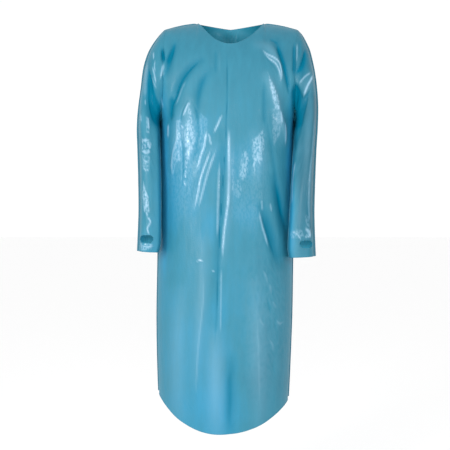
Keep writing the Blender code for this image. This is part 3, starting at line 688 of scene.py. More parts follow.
@dataclass(frozen=True)
class SmockForm:
    """The smooth form of the smock, with the sizes and surfaces of the solids."""

    neck_half_width: float = 0.096
    neck_front_depth: float = 0.088
    neck_front_drop: float = 0.075
    neck_back_depth: float = 0.080
    neck_back_lift: float = 0.006
    shoulder_arch: float = 0.003
    front_shoulder_fullness: float = 4.0
    back_shoulder_fullness: float = 8.0
    shoulder_depth_share: float = 0.75
    front_hem_z: float = -1.168
    back_hem_z: float = -1.140
    right_side_hem_z: float = -1.073
    left_side_hem_z: float = -1.090
    hem_curve: float = 2.2
    hem_lowest_at: float = -0.05
    side_settle_share: float = 0.25
    squareness: float = 2.30
    front_neck_share: float = 10 / 21
    back_neck_share: float = 0.5
    column_crowding: float = 1.15
    sleeve_fullness: float = 0.9
    right_stretch: float = 1.006
    left_stretch: float = 1.045
    right_swing: Swing = Swing(-0.002, 0.004)
    left_swing: Swing = Swing(0.0035, -0.004)
    swing_over: float = 0.38

    def section(self, along: Array) -> dict[str, Array]:
        """The sleeve table's columns at places from 0 at the armhole to 1 at the cuff."""
        places = np.linspace(0, 1, len(SECTIONS))
        return {name: smooth(places, column(SECTIONS, name), along) for name in Section._fields}

    def ring(self, along: Array, angle: Array, face: Face, side: Side) -> Array:
        """Points round a sleeve.

        Args:
            along: Places from the armhole to the cuff.
            angle: 0 at the outer seam and pi at the inner one.
            face: The half of the sleeve.
            side: The sleeve.

        Returns:
            Points, one for each pair of place and angle.
        """
        section = self.section(along)
        swing, bulge = np.cos(angle), np.maximum(np.sin(angle), 0.0)
        x = (section["outer_x"] + section["inner_x"]) / 2 - section["cut_in"] * bulge**2
        x = x + (section["outer_x"] - section["inner_x"]) / 2 * swing
        z = (section["outer_z"] + section["inner_z"]) / 2
        z = z + (section["outer_z"] - section["inner_z"]) / 2 * swing
        stretch = self.right_stretch if side is Side.RIGHT else self.left_stretch
        hand = self.right_swing if side is Side.RIGHT else self.left_swing
        below = z < UNDERARM_Z
        z = np.where(below, UNDERARM_Z + (z - UNDERARM_Z) * stretch, z)
        away = hand.outer * (1 + swing) / 2 + hand.inner * (1 - swing) / 2
        x = x + np.where(below, away * ((UNDERARM_Z - z) / self.swing_over) ** 2, 0.0)
        depth = section["front"] if face is Face.FRONT else section["back"]
        y = section["mid_y"] + face.value * depth * bulge**self.sleeve_fullness
        return np.stack([side.value * x + lean(z), y, z], axis=-1)

    def neck_share(self, face: Face) -> float:
        """The column of the neck point, from 0 in the middle to 1 at the shoulder's tip."""
        return self.front_neck_share if face is Face.FRONT else self.back_neck_share

    def top_edge(self, u: Array, face: Face) -> Array:
        """The neckline and, beyond the neck point, the shoulder seam.

        Args:
            u: Columns from 0 at the centre line to 1 at the armhole.
            face: The front or the back.

        Returns:
            Points with positive X.
        """
        share = self.neck_share(face)
        angle = np.clip(u / share, 0, 1) * math.pi / 2
        if face is Face.FRONT:
            neck_y = -self.neck_front_depth * np.cos(angle)
            neck_z = -self.neck_front_drop * np.cos(angle) ** 2
        else:
            neck_y = self.neck_back_depth * np.cos(angle)
            neck_z = self.neck_back_lift * np.sin(2 * angle)
        neck = np.stack([self.neck_half_width * np.sin(angle), neck_y, neck_z], axis=-1)
        t = np.clip((u - share) / (1 - share), 0, 1)
        tip = SECTIONS[0]
        shoulder = np.stack([
            self.neck_half_width + (tip.outer_x - self.neck_half_width) * t,
            np.zeros_like(t),
            tip.outer_z * t + self.shoulder_arch * np.sin(math.pi * t),
        ], axis=-1)
        return np.where((u <= share + TINY)[..., None], neck, shoulder)

    def rounded(self, u: Array) -> tuple[Array, Array]:
        """How far each column reaches sideways and in depth, as shares of the body's size."""
        turn = u**self.column_crowding * math.pi / 2
        power = 2 / self.squareness
        return np.sin(turn) ** power, np.maximum(np.cos(turn), 0.0) ** power

    def upper(self, u: Array, share: Array, face: Face) -> Array:
        """Points between the centre line and the armhole, before the garment's lean.

        Args:
            u: Columns from 0 at the centre line to 1 at the armhole.
            share: 0 at the shoulder to 1 at the underarm.
            face: The front or the back.

        Returns:
            Points with positive X.
        """
        edge = self.ring(np.zeros_like(share), share * math.pi, face, Side.LEFT)
        edge[..., 0] -= lean(edge[..., 2])
        top_z = -self.neck_front_drop if face is Face.FRONT else 0.0
        centre_z = top_z + (UNDERARM_Z - top_z) * share
        depth = smooth(column(GIRTHS, "z"), column(GIRTHS, face.name.lower()), centre_z)
        rounding = 1 - np.abs(edge[..., 1]) / depth
        sideways, inward = self.rounded(u)
        across = (1 - rounding) * u + rounding * sideways
        return np.stack([
            edge[..., 0] * across,
            edge[..., 1] + (face.value * depth - edge[..., 1]) * inward,
            edge[..., 2] + (centre_z - edge[..., 2]) * inward,
        ], axis=-1)

    def arm_part(self, u: Array, share: Array, face: Face) -> Array:
        """The panel above the underarm.

        Args:
            u: Columns from -1 at the right to 1 at the left.
            share: 0 at the shoulder to 1 at the underarm.
            face: The front or the back.

        Returns:
            One point for each pair.
        """
        side, u = np.where(u < 0, -1.0, 1.0), np.abs(u)
        point = self.upper(u, share, face)
        rise = self.top_edge(u, face) - self.upper(u, np.zeros_like(share), face)
        fade = np.minimum(share / self.shoulder_depth_share, 1.0)
        front = face is Face.FRONT
        sideways = (1 - fade) ** (self.front_shoulder_fullness if front else self.back_shoulder_fullness)
        point = point + rise * np.stack([sideways, sideways, 1 - ease(fade)], axis=-1)
        x = side * point[..., 0] + lean(point[..., 2])
        return np.stack([x, point[..., 1], point[..., 2]], axis=-1)

    def hem_height(self, place: Array, face: Face) -> Array:
        """The hem's height.

        Args:
            place: Places from -1 to 1 across a panel.
            face: The front or the back.

        Returns:
            Z at each place.
        """
        side = np.where(place < self.hem_lowest_at, -1.0, 1.0)
        side_z = np.where(side < 0, self.right_side_hem_z, self.left_side_hem_z)
        lowest_z = self.front_hem_z if face is Face.FRONT else self.back_hem_z
        from_lowest = np.abs(place - self.hem_lowest_at) / (1 - side * self.hem_lowest_at)
        return lowest_z + (side_z - lowest_z) * from_lowest**self.hem_curve

    def skirt_part(self, u: Array, share: Array, face: Face) -> Array:
        """The panel below the underarm.

        Args:
            u: Columns from -1 at the right to 1 at the left.
            share: 0 at the underarm to 1 at the hem.
            face: The front or the back.

        Returns:
            One point for each pair.
        """
        side, u = np.where(u < 0, -1.0, 1.0), np.abs(u)
        across, inward = self.rounded(u)
        z = UNDERARM_Z + (self.hem_height(side * across, face) - UNDERARM_Z) * share
        heights = column(GIRTHS, "z")
        half_width = smooth(heights, column(GIRTHS, "half_width"), z)
        depth = smooth(heights, column(GIRTHS, face.name.lower()), z)
        settle = ease(share / self.side_settle_share)
        half_width = half_width * settle + SECTIONS[0].inner_x * (1 - settle)
        x = side * half_width * across + lean(z)
        return np.stack([x, face.value * depth * inward, z], axis=-1)


@dataclass(frozen=True)
class NoiseField:
    """Smooth repeatable noise on a plane, from gradients on a lattice."""

    seed: int
    size: int = 128
    gain: float = 1.5
    bend: float = 0.6
    bend_scale: float = 0.5
    bend_start: tuple[float, float] = (7.3, -2.1)
    ridge_power: float = 0.8
    finer_scale: float = 1.9
    finer_share: float = 0.30

    def at(self, s: Array, t: Array) -> Array:
        """Noise between about -1 and 1.

        Args:
            s: First coordinate, in lattice steps.
            t: Second coordinate, in lattice steps.

        Returns:
            One value for each pair.
        """
        turns = np.random.default_rng(self.seed).uniform(0, 2 * math.pi, (self.size, self.size))
        i, j = np.floor(s).astype(int), np.floor(t).astype(int)
        fs, ft = s - i, t - j
        ws = fs**3 * (fs * (fs * 6 - 15) + 10)
        wt = ft**3 * (ft * (ft * 6 - 15) + 10)

        def corner(di: int, dj: int) -> Array:
            """The slope of one lattice corner, carried to each place."""
            turn = turns[(i + di) % self.size, (j + dj) % self.size]
            return np.cos(turn) * (fs - di) + np.sin(turn) * (ft - dj)

        low = corner(0, 0) * (1 - ws) + corner(1, 0) * ws
        high = corner(0, 1) * (1 - ws) + corner(1, 1) * ws
        return (low * (1 - wt) + high * wt) * self.gain

    def ridged(self, s: Array, t: Array) -> Array:
        """Noise with narrow ridges like crushed film.

        Args:
            s: First coordinate, in lattice steps.
            t: Second coordinate, in lattice steps.

        Returns:
            Values from about -0.5 to 0.5.
        """
        start_s, start_t = self.bend_start
        shift = NoiseField(self.seed + 1).at(s * self.bend_scale + start_s, t * self.bend_scale + start_t)
        shift = shift * self.bend
        bent = self.at(s + shift, t - shift)
        finer = NoiseField(self.seed + 2).at(s * self.finer_scale + shift, t * self.finer_scale)
        return 0.5 - np.abs(bent) ** self.ridge_power + self.finer_share * (0.5 - np.abs(finer))


NEIGHBOUR = {
    Cloth.FRONT: Cloth.SLEEVE_FRONT,
    Cloth.SLEEVE_FRONT: Cloth.FRONT,
    Cloth.BACK: Cloth.SLEEVE_BACK,
    Cloth.SLEEVE_BACK: Cloth.BACK,
}


@dataclass(frozen=True)
class Relief:
    """All that lifts a panel's film off its smooth form."""

    cloth: Cloth
    seed: int
    fold_samples: int = 33
    fold_start: float = 0.12
    fold_end: float = 0.92
    crossing_reach: float = 0.030
    narrowest: float = 0.35
    gloss_edge: float = 1.15
    overall_wavelength: float = 0.020
    overall_stretch: float = 2.6
    overall_height: float = 0.00016

    def takes(self, cloth: Cloth, z: Array) -> Array | float:
        """How much of a cloth's creases the panel takes: its neighbour's too above the underarm.

        Args:
            cloth: The cloth that the creases lie on.
            z: Z of each point.

        Returns:
            One share for all points or one for each.
        """
        if cloth is self.cloth:
            return 1.0
        if cloth is NEIGHBOUR[self.cloth]:
            return ease((z - UNDERARM_Z) / self.crossing_reach)
        return 0.0

    def folds(self, flat: Array) -> Array:
        """The large folds, which the solids have too.

        Args:
            flat: X and Z of each point.

        Returns:
            Heights.
        """
        height = np.zeros(flat.shape[:-1])
        t = np.linspace(0, 1, self.fold_samples)[:, None]
        for fold in FOLDS[self.cloth]:
            start, middle, end = np.reshape(fold[:6], (3, 2))
            handle = 2 * middle - (start + end) / 2
            curve = (1 - t) ** 2 * start + 2 * t * (1 - t) * handle + t**2 * end
            away, place = nearest_on(curve, flat, 3 * fold.half_width)
            reach = self.fold_start + (self.fold_end - self.fold_start) * place
            height += fold.height * np.sin(np.pi * reach) * np.exp(-((away / fold.half_width) ** 2))
        return height

    def creases(self, flat: Array) -> tuple[Array, Array]:
        """The creases placed by hand.

        Args:
            flat: X and Z of each point.

        Returns:
            The height of each point, and how glossy the film is there, from 0 to 1.
        """
        height, gloss = np.zeros(flat.shape[:-1]), np.zeros(flat.shape[:-1])
        for cloth, rows in CREASES.items():
            share = self.takes(cloth, flat[..., 1])
            if not np.any(share):
                continue
            for crease in rows:
                width = crease.half_width * MILLIMETRE
                curve = through(np.array(crease.path) * MILLIMETRE, width / 2)
                away, place = nearest_on(curve, flat, 5 * width)
                taper = ease(place / crease.fade) * ease((1 - place) / crease.fade)
                across = away / (width * (self.narrowest + (1 - self.narrowest) * taper))
                side = side_of(curve, flat, 5 * width) if crease.profile is Profile.STEP else 1.0
                height += crease.height * MILLIMETRE * share * taper * crease.profile.rise(across * side)
                gloss = np.maximum(gloss, crease.gloss * share * taper * ease(self.gloss_edge - across))
        return height, gloss

    def patches(self, flat: Array) -> tuple[Array, Array, Array]:
        """The facets, strips and hollows with an outline.

        Args:
            flat: X and Z of each point.

        Returns:
            The height, gloss, and painted light and shade that they give each point.
        """
        height, gloss, tone = (np.zeros(flat.shape[:-1]) for _ in range(3))
        for patch in PATCHES[self.cloth]:
            mask = within(np.array(patch.outline) * MILLIMETRE, flat, patch.edge * MILLIMETRE)
            height += patch.height * MILLIMETRE * mask
            gloss = np.maximum(gloss, patch.gloss * mask)
            # A patch's tone is painted light and shade
            tone += patch.tone * mask
        return height, gloss, tone

    def crinkles(self, flat: Array, s: Array, t: Array) -> Array:
        """Height of the crushed patches and of the film's overall unevenness.

        Args:
            flat: X and Z of each point.
            s: Distance round the panel.
            t: Distance down the panel.

        Returns:
            Heights.
        """
        step = self.overall_wavelength
        height = NoiseField(self.seed).ridged(s / step, t / step / self.overall_stretch)
        height *= self.overall_height
        for number, patch in enumerate(CRINKLES):
            if patch.cloth is not self.cloth:
                continue
            sine, cosine = math.sin(math.radians(patch.turn)), math.cos(math.radians(patch.turn))
            along = (s * cosine + t * sine) / patch.stretch
            across = -s * sine + t * cosine
            wave = patch.wavelength * MILLIMETRE
            noise = NoiseField(self.seed + 10 * (number + 1)).ridged(along / wave, across / wave)
            height += patch.height * MILLIMETRE * spot(patch, flat) * noise
        return height


def spot(patch: Crinkle | PaintedLight, flat: Array) -> Array:
    """How much of a soft patch each point takes, from 1 at its middle."""
    dx = (flat[..., 0] / MILLIMETRE - patch.x) / patch.reach_x
    dz = (flat[..., 1] / MILLIMETRE - patch.z) / patch.reach_z
    return np.exp(-(dx**2 + dz**2))


def painted_lights(flat: Array, face: Face) -> Array:
    """How much painted light and shade the film takes.

    Args:
        flat: X and Z of each point.
        face: The front or the back.

    Returns:
        Painted shade below 0, and painted light above it.
    """
    return sum(patch.shade * spot(patch, flat) for patch in PAINTED_LIGHTS[face])


def through(points: Array, spacing: float) -> Array:
    """Even points along a smooth curve through the given ones."""
    lengths = np.concatenate([[0.0], np.cumsum(np.linalg.norm(np.diff(points, axis=0), axis=1))])
    count = max(int(lengths[-1] / spacing), 4) + 1
    at = np.linspace(0, lengths[-1], count)
    return np.stack([smooth(lengths, points[:, k], at) for k in range(points.shape[1])], axis=-1)


def near_box(curve: Array, flat: Array, reach: float) -> Array:
    """Which points lie in the curve's box grown by the reach."""
    low, high = curve.min(axis=0) - reach, curve.max(axis=0) + reach
    return np.all((flat > low) & (flat < high), axis=-1)


def nearest_on(curve: Array, flat: Array, reach: float) -> tuple[Array, Array]:
    """Distance to a curve, and the share of its length at the nearest place.

    Args:
        curve: Points of the curve, close together.
        flat: The points to measure from.
        reach: How far out the distance matters.

    Returns:
        Distances, and shares from 0 to 1. Points out of reach get a large distance.
    """
    away = np.full(flat.shape[:-1], 1.0)
    place = np.zeros(flat.shape[:-1])
    close = near_box(curve, flat, reach)
    if not close.any():
        return away, place
    given = flat[close][:, None, :]
    start, leg = curve[:-1], np.diff(curve, axis=0)
    on_leg = np.clip(np.sum((given - start) * leg, axis=2) / np.sum(leg**2, axis=1), 0, 1)
    gaps = np.linalg.norm(given - (start + on_leg[..., None] * leg), axis=2)
    best = gaps.argmin(axis=1)
    rows = np.arange(len(best))
    away[close] = gaps[rows, best]
    place[close] = (best + on_leg[rows, best]) / len(leg)
    return away, place


def within(outline: Array, flat: Array, soft: float) -> Array:
    """How far points are inside an outline: 1 inside, 0 outside, and between at its soft edge.

    Args:
        outline: The outline's corners.
        flat: The points.
        soft: The width of the soft edge.

    Returns:
        One share for each point.
    """
    after = np.roll(outline, -1, axis=0)
    away, _ = nearest_on(np.concatenate([outline, outline[:1]]), flat, 2 * soft)
    inside = np.zeros(flat.shape[:-1], bool)
    for (x0, z0), (x1, z1) in zip(outline, after):
        spans = (z0 > flat[..., 1]) != (z1 > flat[..., 1])
        if z0 != z1:
            inside ^= spans & (flat[..., 0] < (x1 - x0) * (flat[..., 1] - z0) / (z1 - z0) + x0)
    return ease(0.5 + np.where(inside, away, -away) / soft)


def side_of(curve: Array, flat: Array, reach: float) -> Array:
    """Which side of a curve points lie on.

    Args:
        curve: Points of the curve, close together.
        flat: The points.
        reach: How far out the side matters.

    Returns:
        1 to the left of the curve as it runs, and -1 to its right.
    """
    side = np.ones(flat.shape[:-1])
    close = near_box(curve, flat, reach)
    given = flat[close][:, None, :]
    start, leg = curve[:-1], np.diff(curve, axis=0)
    best = np.linalg.norm(given - (start + leg / 2), axis=2).argmin(axis=1)
    offset = flat[close] - start[best]
    cross = leg[best][:, 0] * offset[:, 1] - leg[best][:, 1] * offset[:, 0]
    side[close] = np.where(cross >= 0, 1.0, -1.0)
    return side


def grid_normals(points: Array, outward: int) -> Array:
    """Unit normals of a grid of points, turned to the side that outward names."""
    normals = np.cross(np.gradient(points, axis=0), np.gradient(points, axis=1))
    normals /= np.linalg.norm(normals, axis=2, keepdims=True)
    return normals * outward


def walked(points: Array, axis: int) -> Array:
    """Distance walked over a grid along one of its axes."""
    steps = np.linalg.norm(np.diff(points, axis=axis), axis=2)
    pad = [(1, 0), (0, 0)] if axis == 0 else [(0, 0), (1, 0)]
    return np.cumsum(np.pad(steps, pad), axis=axis)


def without(normals: Array, axis: int, where: Array, steepest: float = 0.85) -> Array:
    """Unit normals that don't point across a seam.

    Args:
        normals: The normals to change.
        axis: The axis across the seam.
        where: The points on the seam.
        steepest: Normals that lean further than this along the axis are left alone.

    Returns:
        The changed normals.
    """
    changed = normals.copy()
    keep = where & (np.abs(normals[..., axis]) < steepest)
    changed[..., axis] = np.where(keep, 0.0, normals[..., axis])
    return changed / np.linalg.norm(changed, axis=2, keepdims=True)


def quads(rows: int, columns: int) -> Array:
    """The corners of each face of a grid, as numbers of its points."""
    index = np.arange(rows * columns).reshape(rows, columns)
    corners = (index[:-1, :-1], index[1:, :-1], index[1:, 1:], index[:-1, 1:])
    return np.stack(corners, axis=-1).reshape(-1, 4)


def placed(name: str, data: bpy.types.ID) -> Object:
    """A new object of that mesh, light or camera, put in the scene."""
    thing = bpy.data.objects.new(name, data)
    bpy.context.scene.collection.objects.link(thing)
    return thing


def thin_shell(
    name: str,
    points: Array,
    normals: Array,
    thickness: float,
    flip: bool,
    marks: dict[str, Array],
    rim_angle: float = 50.0,
) -> Object:
    """A closed thin shell: outer skin, inner skin and the rim between them.

    Args:
        name: The piece's name.
        points: The outer skin's grid.
        normals: Its outward normals.
        thickness: The film's thickness.
        flip: True where the grid runs the other way round.
        marks: Values of each point that the finish reads, by name.
        rim_angle: Edges sharper than this, in degrees, look sharp.

    Returns:
        The new object.
    """
    rows, columns = points.shape[:2]
    count = rows * columns
    inner = points - thickness * normals
    vertices = np.concatenate([points.reshape(-1, 3), inner.reshape(-1, 3)])
    index = np.arange(count).reshape(rows, columns)
    outer_faces = quads(rows, columns)
    inner_faces = outer_faces[:, ::-1] + count
    edge = np.concatenate([index[0], index[1:, -1], index[-1, -2::-1], index[-2:0:-1, 0]])
    after = np.roll(edge, -1)
    rim = np.stack([edge, after, after + count, edge + count], axis=-1)
    faces = np.concatenate([outer_faces, inner_faces, rim])
    if flip:
        faces = faces[:, ::-1]
    mesh = bpy.data.meshes.new(name)
    mesh.from_pydata(vertices, [], faces.tolist())
    both = {mark: np.tile(values.reshape(-1), 2) for mark, values in marks.items()}
    both["inside"] = np.repeat([0.0, 1.0], count)
    for mark, values in both.items():
        attribute = mesh.attributes.new(mark, "FLOAT", "POINT")
        attribute.data.foreach_set("value", values.astype(np.float32))
    mesh.shade_smooth()
    mesh.set_sharp_from_angle(angle=math.radians(rim_angle))
    return placed(name, mesh)


@dataclass
class Film:
    """A panel of thin film: its grid of points, and the mesh made from them."""

    name: str
    cloth: Cloth
    seed: int
    cut: Cut
    face: Face = Face.FRONT
    thickness: float = 0.0004
    edge_fade: float = 0.030
    detail_fade: float = 0.010
    crease_depth: float = 0.0040
    fold_share: float = 0.4
    darkest: float = -1.0
    lightest: float = 2.0
    seam_gap: float = 0.0003
    skin: Array | None = None

    @property
    def outward(self) -> int:
        """The sign that turns the normals of a body panel's grid outwards."""
        return -self.face.value

    def lift(
        self,
        points: Array,
        fold_weight: Array,
        crease_weight: Array,
        crinkle_weight: Array,
        at_armhole: Array,
    ) -> tuple[Array, dict[str, Array]]:
        """Folds and creases the smooth panel.

        Args:
            points: The smooth grid.
            fold_weight: How much of the large folds each point takes.
            crease_weight: How much of the creases each point takes.
            crinkle_weight: How much of the crinkles each point takes.
            at_armhole: The points on the armhole, which stay in its plane.

        Returns:
            The folded grid, and the values of each point that the finish reads.
        """
        relief = Relief(self.cloth, self.seed)
        normals = without(grid_normals(points, self.outward), 0, at_armhole)
        flat = points[..., [0, 2]]
        folds = relief.folds(flat) * fold_weight
        creases, gloss = relief.creases(flat)
        facets, pressed, patch_painted_light = relief.patches(flat)
        creases = (creases + facets) * crease_weight
        # The tone mark holds painted light and shade from the soft patches and the outlined ones
        tone = np.clip(painted_lights(flat, self.face) + patch_painted_light, self.darkest, self.lightest)
        middle = points.shape[1] // 2
        round_panel = walked(points, 1)
        round_panel = round_panel - round_panel[:, middle : middle + 1]
        crinkles = relief.crinkles(flat, round_panel, walked(points, 0)) * crinkle_weight
        lifted = points + normals * (folds + creases + crinkles)[..., None]
        # The crease mark paints shade into the troughs and sheen onto the ridges in the finish
        depth = np.clip((creases + self.fold_share * folds + crinkles) / self.crease_depth, -1, 1)
        return lifted, {"crease": depth, "gloss": gloss, "pressed": pressed, "tone": tone}

    def close(
        self,
        points: Array,
        marks: dict[str, Array],
        at_seam: Array,
        at_armhole: Array,
        away: Array | int,
    ) -> Object:
        """Makes the panel's thin shell, and keeps its outer skin for the edges.

        Args:
            points: The folded grid.
            marks: The values of each point that the finish reads.
            at_seam: The points on the seams with the panel's other face.
            at_armhole: The points on the armhole.
            away: The sign of X that leads away from the film beyond the armhole.

        Returns:
            The new object.
        """
        normals = without(grid_normals(points, self.outward), 1, at_seam)
        normals = without(normals, 0, at_armhole)
        points[..., 1] += np.where(at_seam, self.face.value * self.seam_gap / 2, 0.0)
        points[..., 0] += np.where(at_armhole, away * self.seam_gap / 2, 0.0)
        self.skin = points
        flip = self.outward < 0
        return thin_shell(self.name + "_film", points, normals, self.thickness, flip, marks)


@dataclass
class BodyPanel(Film):
    """The front or back panel, from neckline and shoulder seams to hem."""

    half_columns: int = 84
    arm_rows: int = 80
    skirt_rows: int = 208
    skirt_crowding: float = 1.12
    side_inset: float = 0.004
    side_inset_from: float = 0.86
    weld_grows_over: float = 0.165

    def grid(self, form: SmockForm) -> Array:
        """The smooth panel.

        Args:
            form: The smock's smooth form.

        Returns:
            Rows of points.
        """
        u = np.linspace(-1, 1, 2 * self.half_columns + 1)
        arm = np.linspace(0, 1, self.arm_rows, endpoint=False)
        skirt = np.linspace(0, 1, self.skirt_rows + 1) ** self.skirt_crowding
        upper = form.arm_part(*np.meshgrid(u, arm), self.face)
        lower = form.skirt_part(*np.meshgrid(u, skirt), self.face)
        return np.concatenate([upper, lower])

    def build(self, form: SmockForm) -> Object:
        """Makes the panel's film.

        Args:
            form: The smock's smooth form.

        Returns:
            The panel as a thin shell.
        """
        points = self.grid(form)
        u = np.linspace(-1, 1, points.shape[1])
        inset = (1 - np.abs(u))[None, :] * SECTIONS[0].outer_x
        below = np.linalg.norm(points - points[0], axis=2)
        share = form.neck_share(self.face)
        on_side = np.zeros(points.shape[:2], bool)
        on_side[:, (0, -1)] = True
        at_armhole, at_seam = on_side.copy(), on_side.copy()
        at_armhole[self.arm_rows :] = False
        at_seam[: self.arm_rows] = False
        at_seam[0, np.abs(u) >= share - TINY] = True
        round_armhole = np.zeros((len(points), 1))
        down_armhole = np.linspace(0, math.pi, self.arm_rows, endpoint=False)
        round_armhole[: self.arm_rows, 0] = np.sin(down_armhole) ** 0.5
        off_seam = ease(inset / self.detail_fade)
        off_top = ease(below / self.detail_fade)
        points, marks = self.lift(
            points,
            fold_weight=ease(inset / self.edge_fade) * ease(below / self.edge_fade),
            crease_weight=(off_seam + (1 - off_seam) * round_armhole) * off_top,
            crinkle_weight=off_seam * off_top,
            at_armhole=at_armhole,
        )
        drawn_in = ease((np.abs(u) - self.side_inset_from) / (1 - self.side_inset_from))[None, :]
        drawn_in = drawn_in * ease((UNDERARM_Z - points[..., 2]) / self.weld_grows_over)
        points[..., 0] -= np.sign(u)[None, :] * self.side_inset * drawn_in
        return self.close(points, marks, at_seam, at_armhole, away=-np.sign(u)[None, :])


@dataclass
class SleevePanel(Film):
    """The front or back half of a sleeve, from the armhole to the cuff."""

    side: Side = Side.RIGHT
    rings: int = 220
    columns: int = 64
    outer_inset: float = 0.004
    inner_inset: float = -0.0012
    inset_edge: float = 0.4
    inset_from: float = 0.15
    inner_over: float = 0.3
    inner_fullness: float = 0.0060
    fullness_from: float = 0.02
    fullness_over: float = 0.12
    fullest_at: float = -0.72
    fullness_reach: float = 0.20

    @property
    def outward(self) -> int:
        """The sign that turns the normals of a sleeve's grid outwards."""
        return self.face.value * self.side.value

    def build(self, form: SmockForm) -> Object:
        """Makes the half sleeve's film.

        Args:
            form: The smock's smooth form.

        Returns:
            The half sleeve as a thin shell.
        """
        angles = np.linspace(0, math.pi, self.columns + 1)
        angle, place = np.meshgrid(angles, np.linspace(0, 1, self.rings + 1))
        points = form.ring(place, angle, self.face, self.side)
        from_armhole = np.linalg.norm(points - points[0], axis=2)
        round_edge = np.sin(angles)[None, :] ** 0.5
        at_seam = np.zeros(points.shape[:2], bool)
        at_seam[:, (0, -1)] = True
        at_armhole = np.zeros_like(at_seam)
        at_armhole[0] = True
        points, marks = self.lift(
            points,
            fold_weight=ease(from_armhole / self.edge_fade) * round_edge,
            crease_weight=round_edge,
            crinkle_weight=ease(from_armhole / self.detail_fade) * round_edge,
            at_armhole=at_armhole,
        )
        swing, over = np.cos(angle), 1 - self.inset_edge
        outer = self.outer_inset * ease((swing - self.inset_edge) / over) * ease(place / self.inset_from)
        lower = ease((place - self.inset_from) / self.inner_over)
        inner = self.inner_inset * ease((-swing - self.inset_edge) / over) * lower
        fullness = np.exp(-(((swing - self.fullest_at) / self.fullness_reach) ** 2))
        early = ease((place - self.fullness_from) / self.fullness_over)
        inner = inner - self.inner_fullness * fullness * early
        points[..., 0] += self.side.value * (inner - outer)
        return self.close(points, marks, at_seam, at_armhole, away=self.side.value)


@dataclass(frozen=True)
class ThumbSlot:
    """The slot cut through the front of a cuff for the thumb."""

    length: float = 0.038
    height: float = 0.022
    above_cuff: float = 0.034
    right_shift: float = 0.002
    left_shift: float = 0.006
    arc_steps: int = 16
    reach: float = 0.1

    def middle(self, form: SmockForm, side: Side) -> Vector:
        """The slot's middle as seen from the front, with the cuff's depth.

        Args:
            form: The smock's smooth form.
            side: The sleeve.

        Returns:
            The point.
        """
        cuff = {name: float(value) for name, value in form.section(np.array(1.0)).items()}
        stretch = form.right_stretch if side is Side.RIGHT else form.left_stretch
        shift = self.right_shift if side is Side.RIGHT else self.left_shift
        z = UNDERARM_Z + (cuff["outer_z"] - UNDERARM_Z) * stretch + self.above_cuff
        x = side.value * ((cuff["outer_x"] + cuff["inner_x"]) / 2 + shift) + float(lean(np.array(z)))
        return Vector((x, cuff["mid_y"], z))

    def outline(self) -> list[Vector]:
        """The slot's rounded outline round its middle."""
        radius = self.height / 2
        straight = self.length / 2 - radius
        points = []
        for shift, start in ((straight, -math.pi / 2), (-straight, math.pi / 2)):
            for step in range(self.arc_steps + 1):
                turn = start + math.pi * step / self.arc_steps
                points.append(Vector((shift + radius * math.cos(turn), 0, radius * math.sin(turn))))
        return points

    def rim(self, panel: SleevePanel, form: SmockForm) -> Array:
        """The slot's outline laid on the sleeve's film.

        Args:
            panel: The front half of the sleeve, already built.
            form: The smock's smooth form.

        Returns:
            A closed line of points.
        """
        faces = quads(*panel.skin.shape[:2]).tolist()
        skin = BVHTree.FromPolygons(panel.skin.reshape(-1, 3).tolist(), faces)
        middle = self.middle(form, panel.side)
        away = Vector((0, -self.reach, 0))
        line = []
        for point in self.outline():
            hit = skin.ray_cast(middle + point + away, Vector((0, 1, 0)))[0]
            line.append(hit + Vector((0, panel.thickness / 2, 0)))
        return np.array(line + line[:1])

    def cut(self, piece: Object, form: SmockForm, side: Side) -> None:
        """Cuts the slot through the front film of a sleeve.

        Args:
            piece: The front half of the sleeve.
            form: The smock's smooth form.
            side: The sleeve.
        """
        middle = self.middle(form, side)
        reach = Vector((0, self.reach, 0))
        bm = bmesh.new()
        cap = bm.faces.new([bm.verts.new(middle + p - reach) for p in self.outline()])
        pushed = bmesh.ops.extrude_face_region(bm, geom=[cap])
        moved = [v for v in pushed["geom"] if isinstance(v, bmesh.types.BMVert)]
        bmesh.ops.translate(bm, verts=moved, vec=reach)
        bmesh.ops.recalc_face_normals(bm, faces=bm.faces)
        mesh = bpy.data.meshes.new("slot_cutter")
        bm.to_mesh(mesh)
        bm.free()
        cutter = placed("slot_cutter", mesh)
        cut = piece.modifiers.new("thumb_slot", "BOOLEAN")
        cut.operation = "DIFFERENCE"
        cut.solver = "EXACT"
        cut.object = cutter
        make_plain(piece)
        bpy.data.objects.remove(cutter, do_unlink=True)


def make_plain(piece: Object) -> None:
    """Turns a piece into a plain mesh of the same look.

    Args:
        piece: The piece, with its modifiers.
    """
    graph = bpy.context.evaluated_depsgraph_get()
    result = bpy.data.meshes.new_from_object(piece.evaluated_get(graph))
    result.name = piece.name
    piece.modifiers.clear()
    piece.data = result


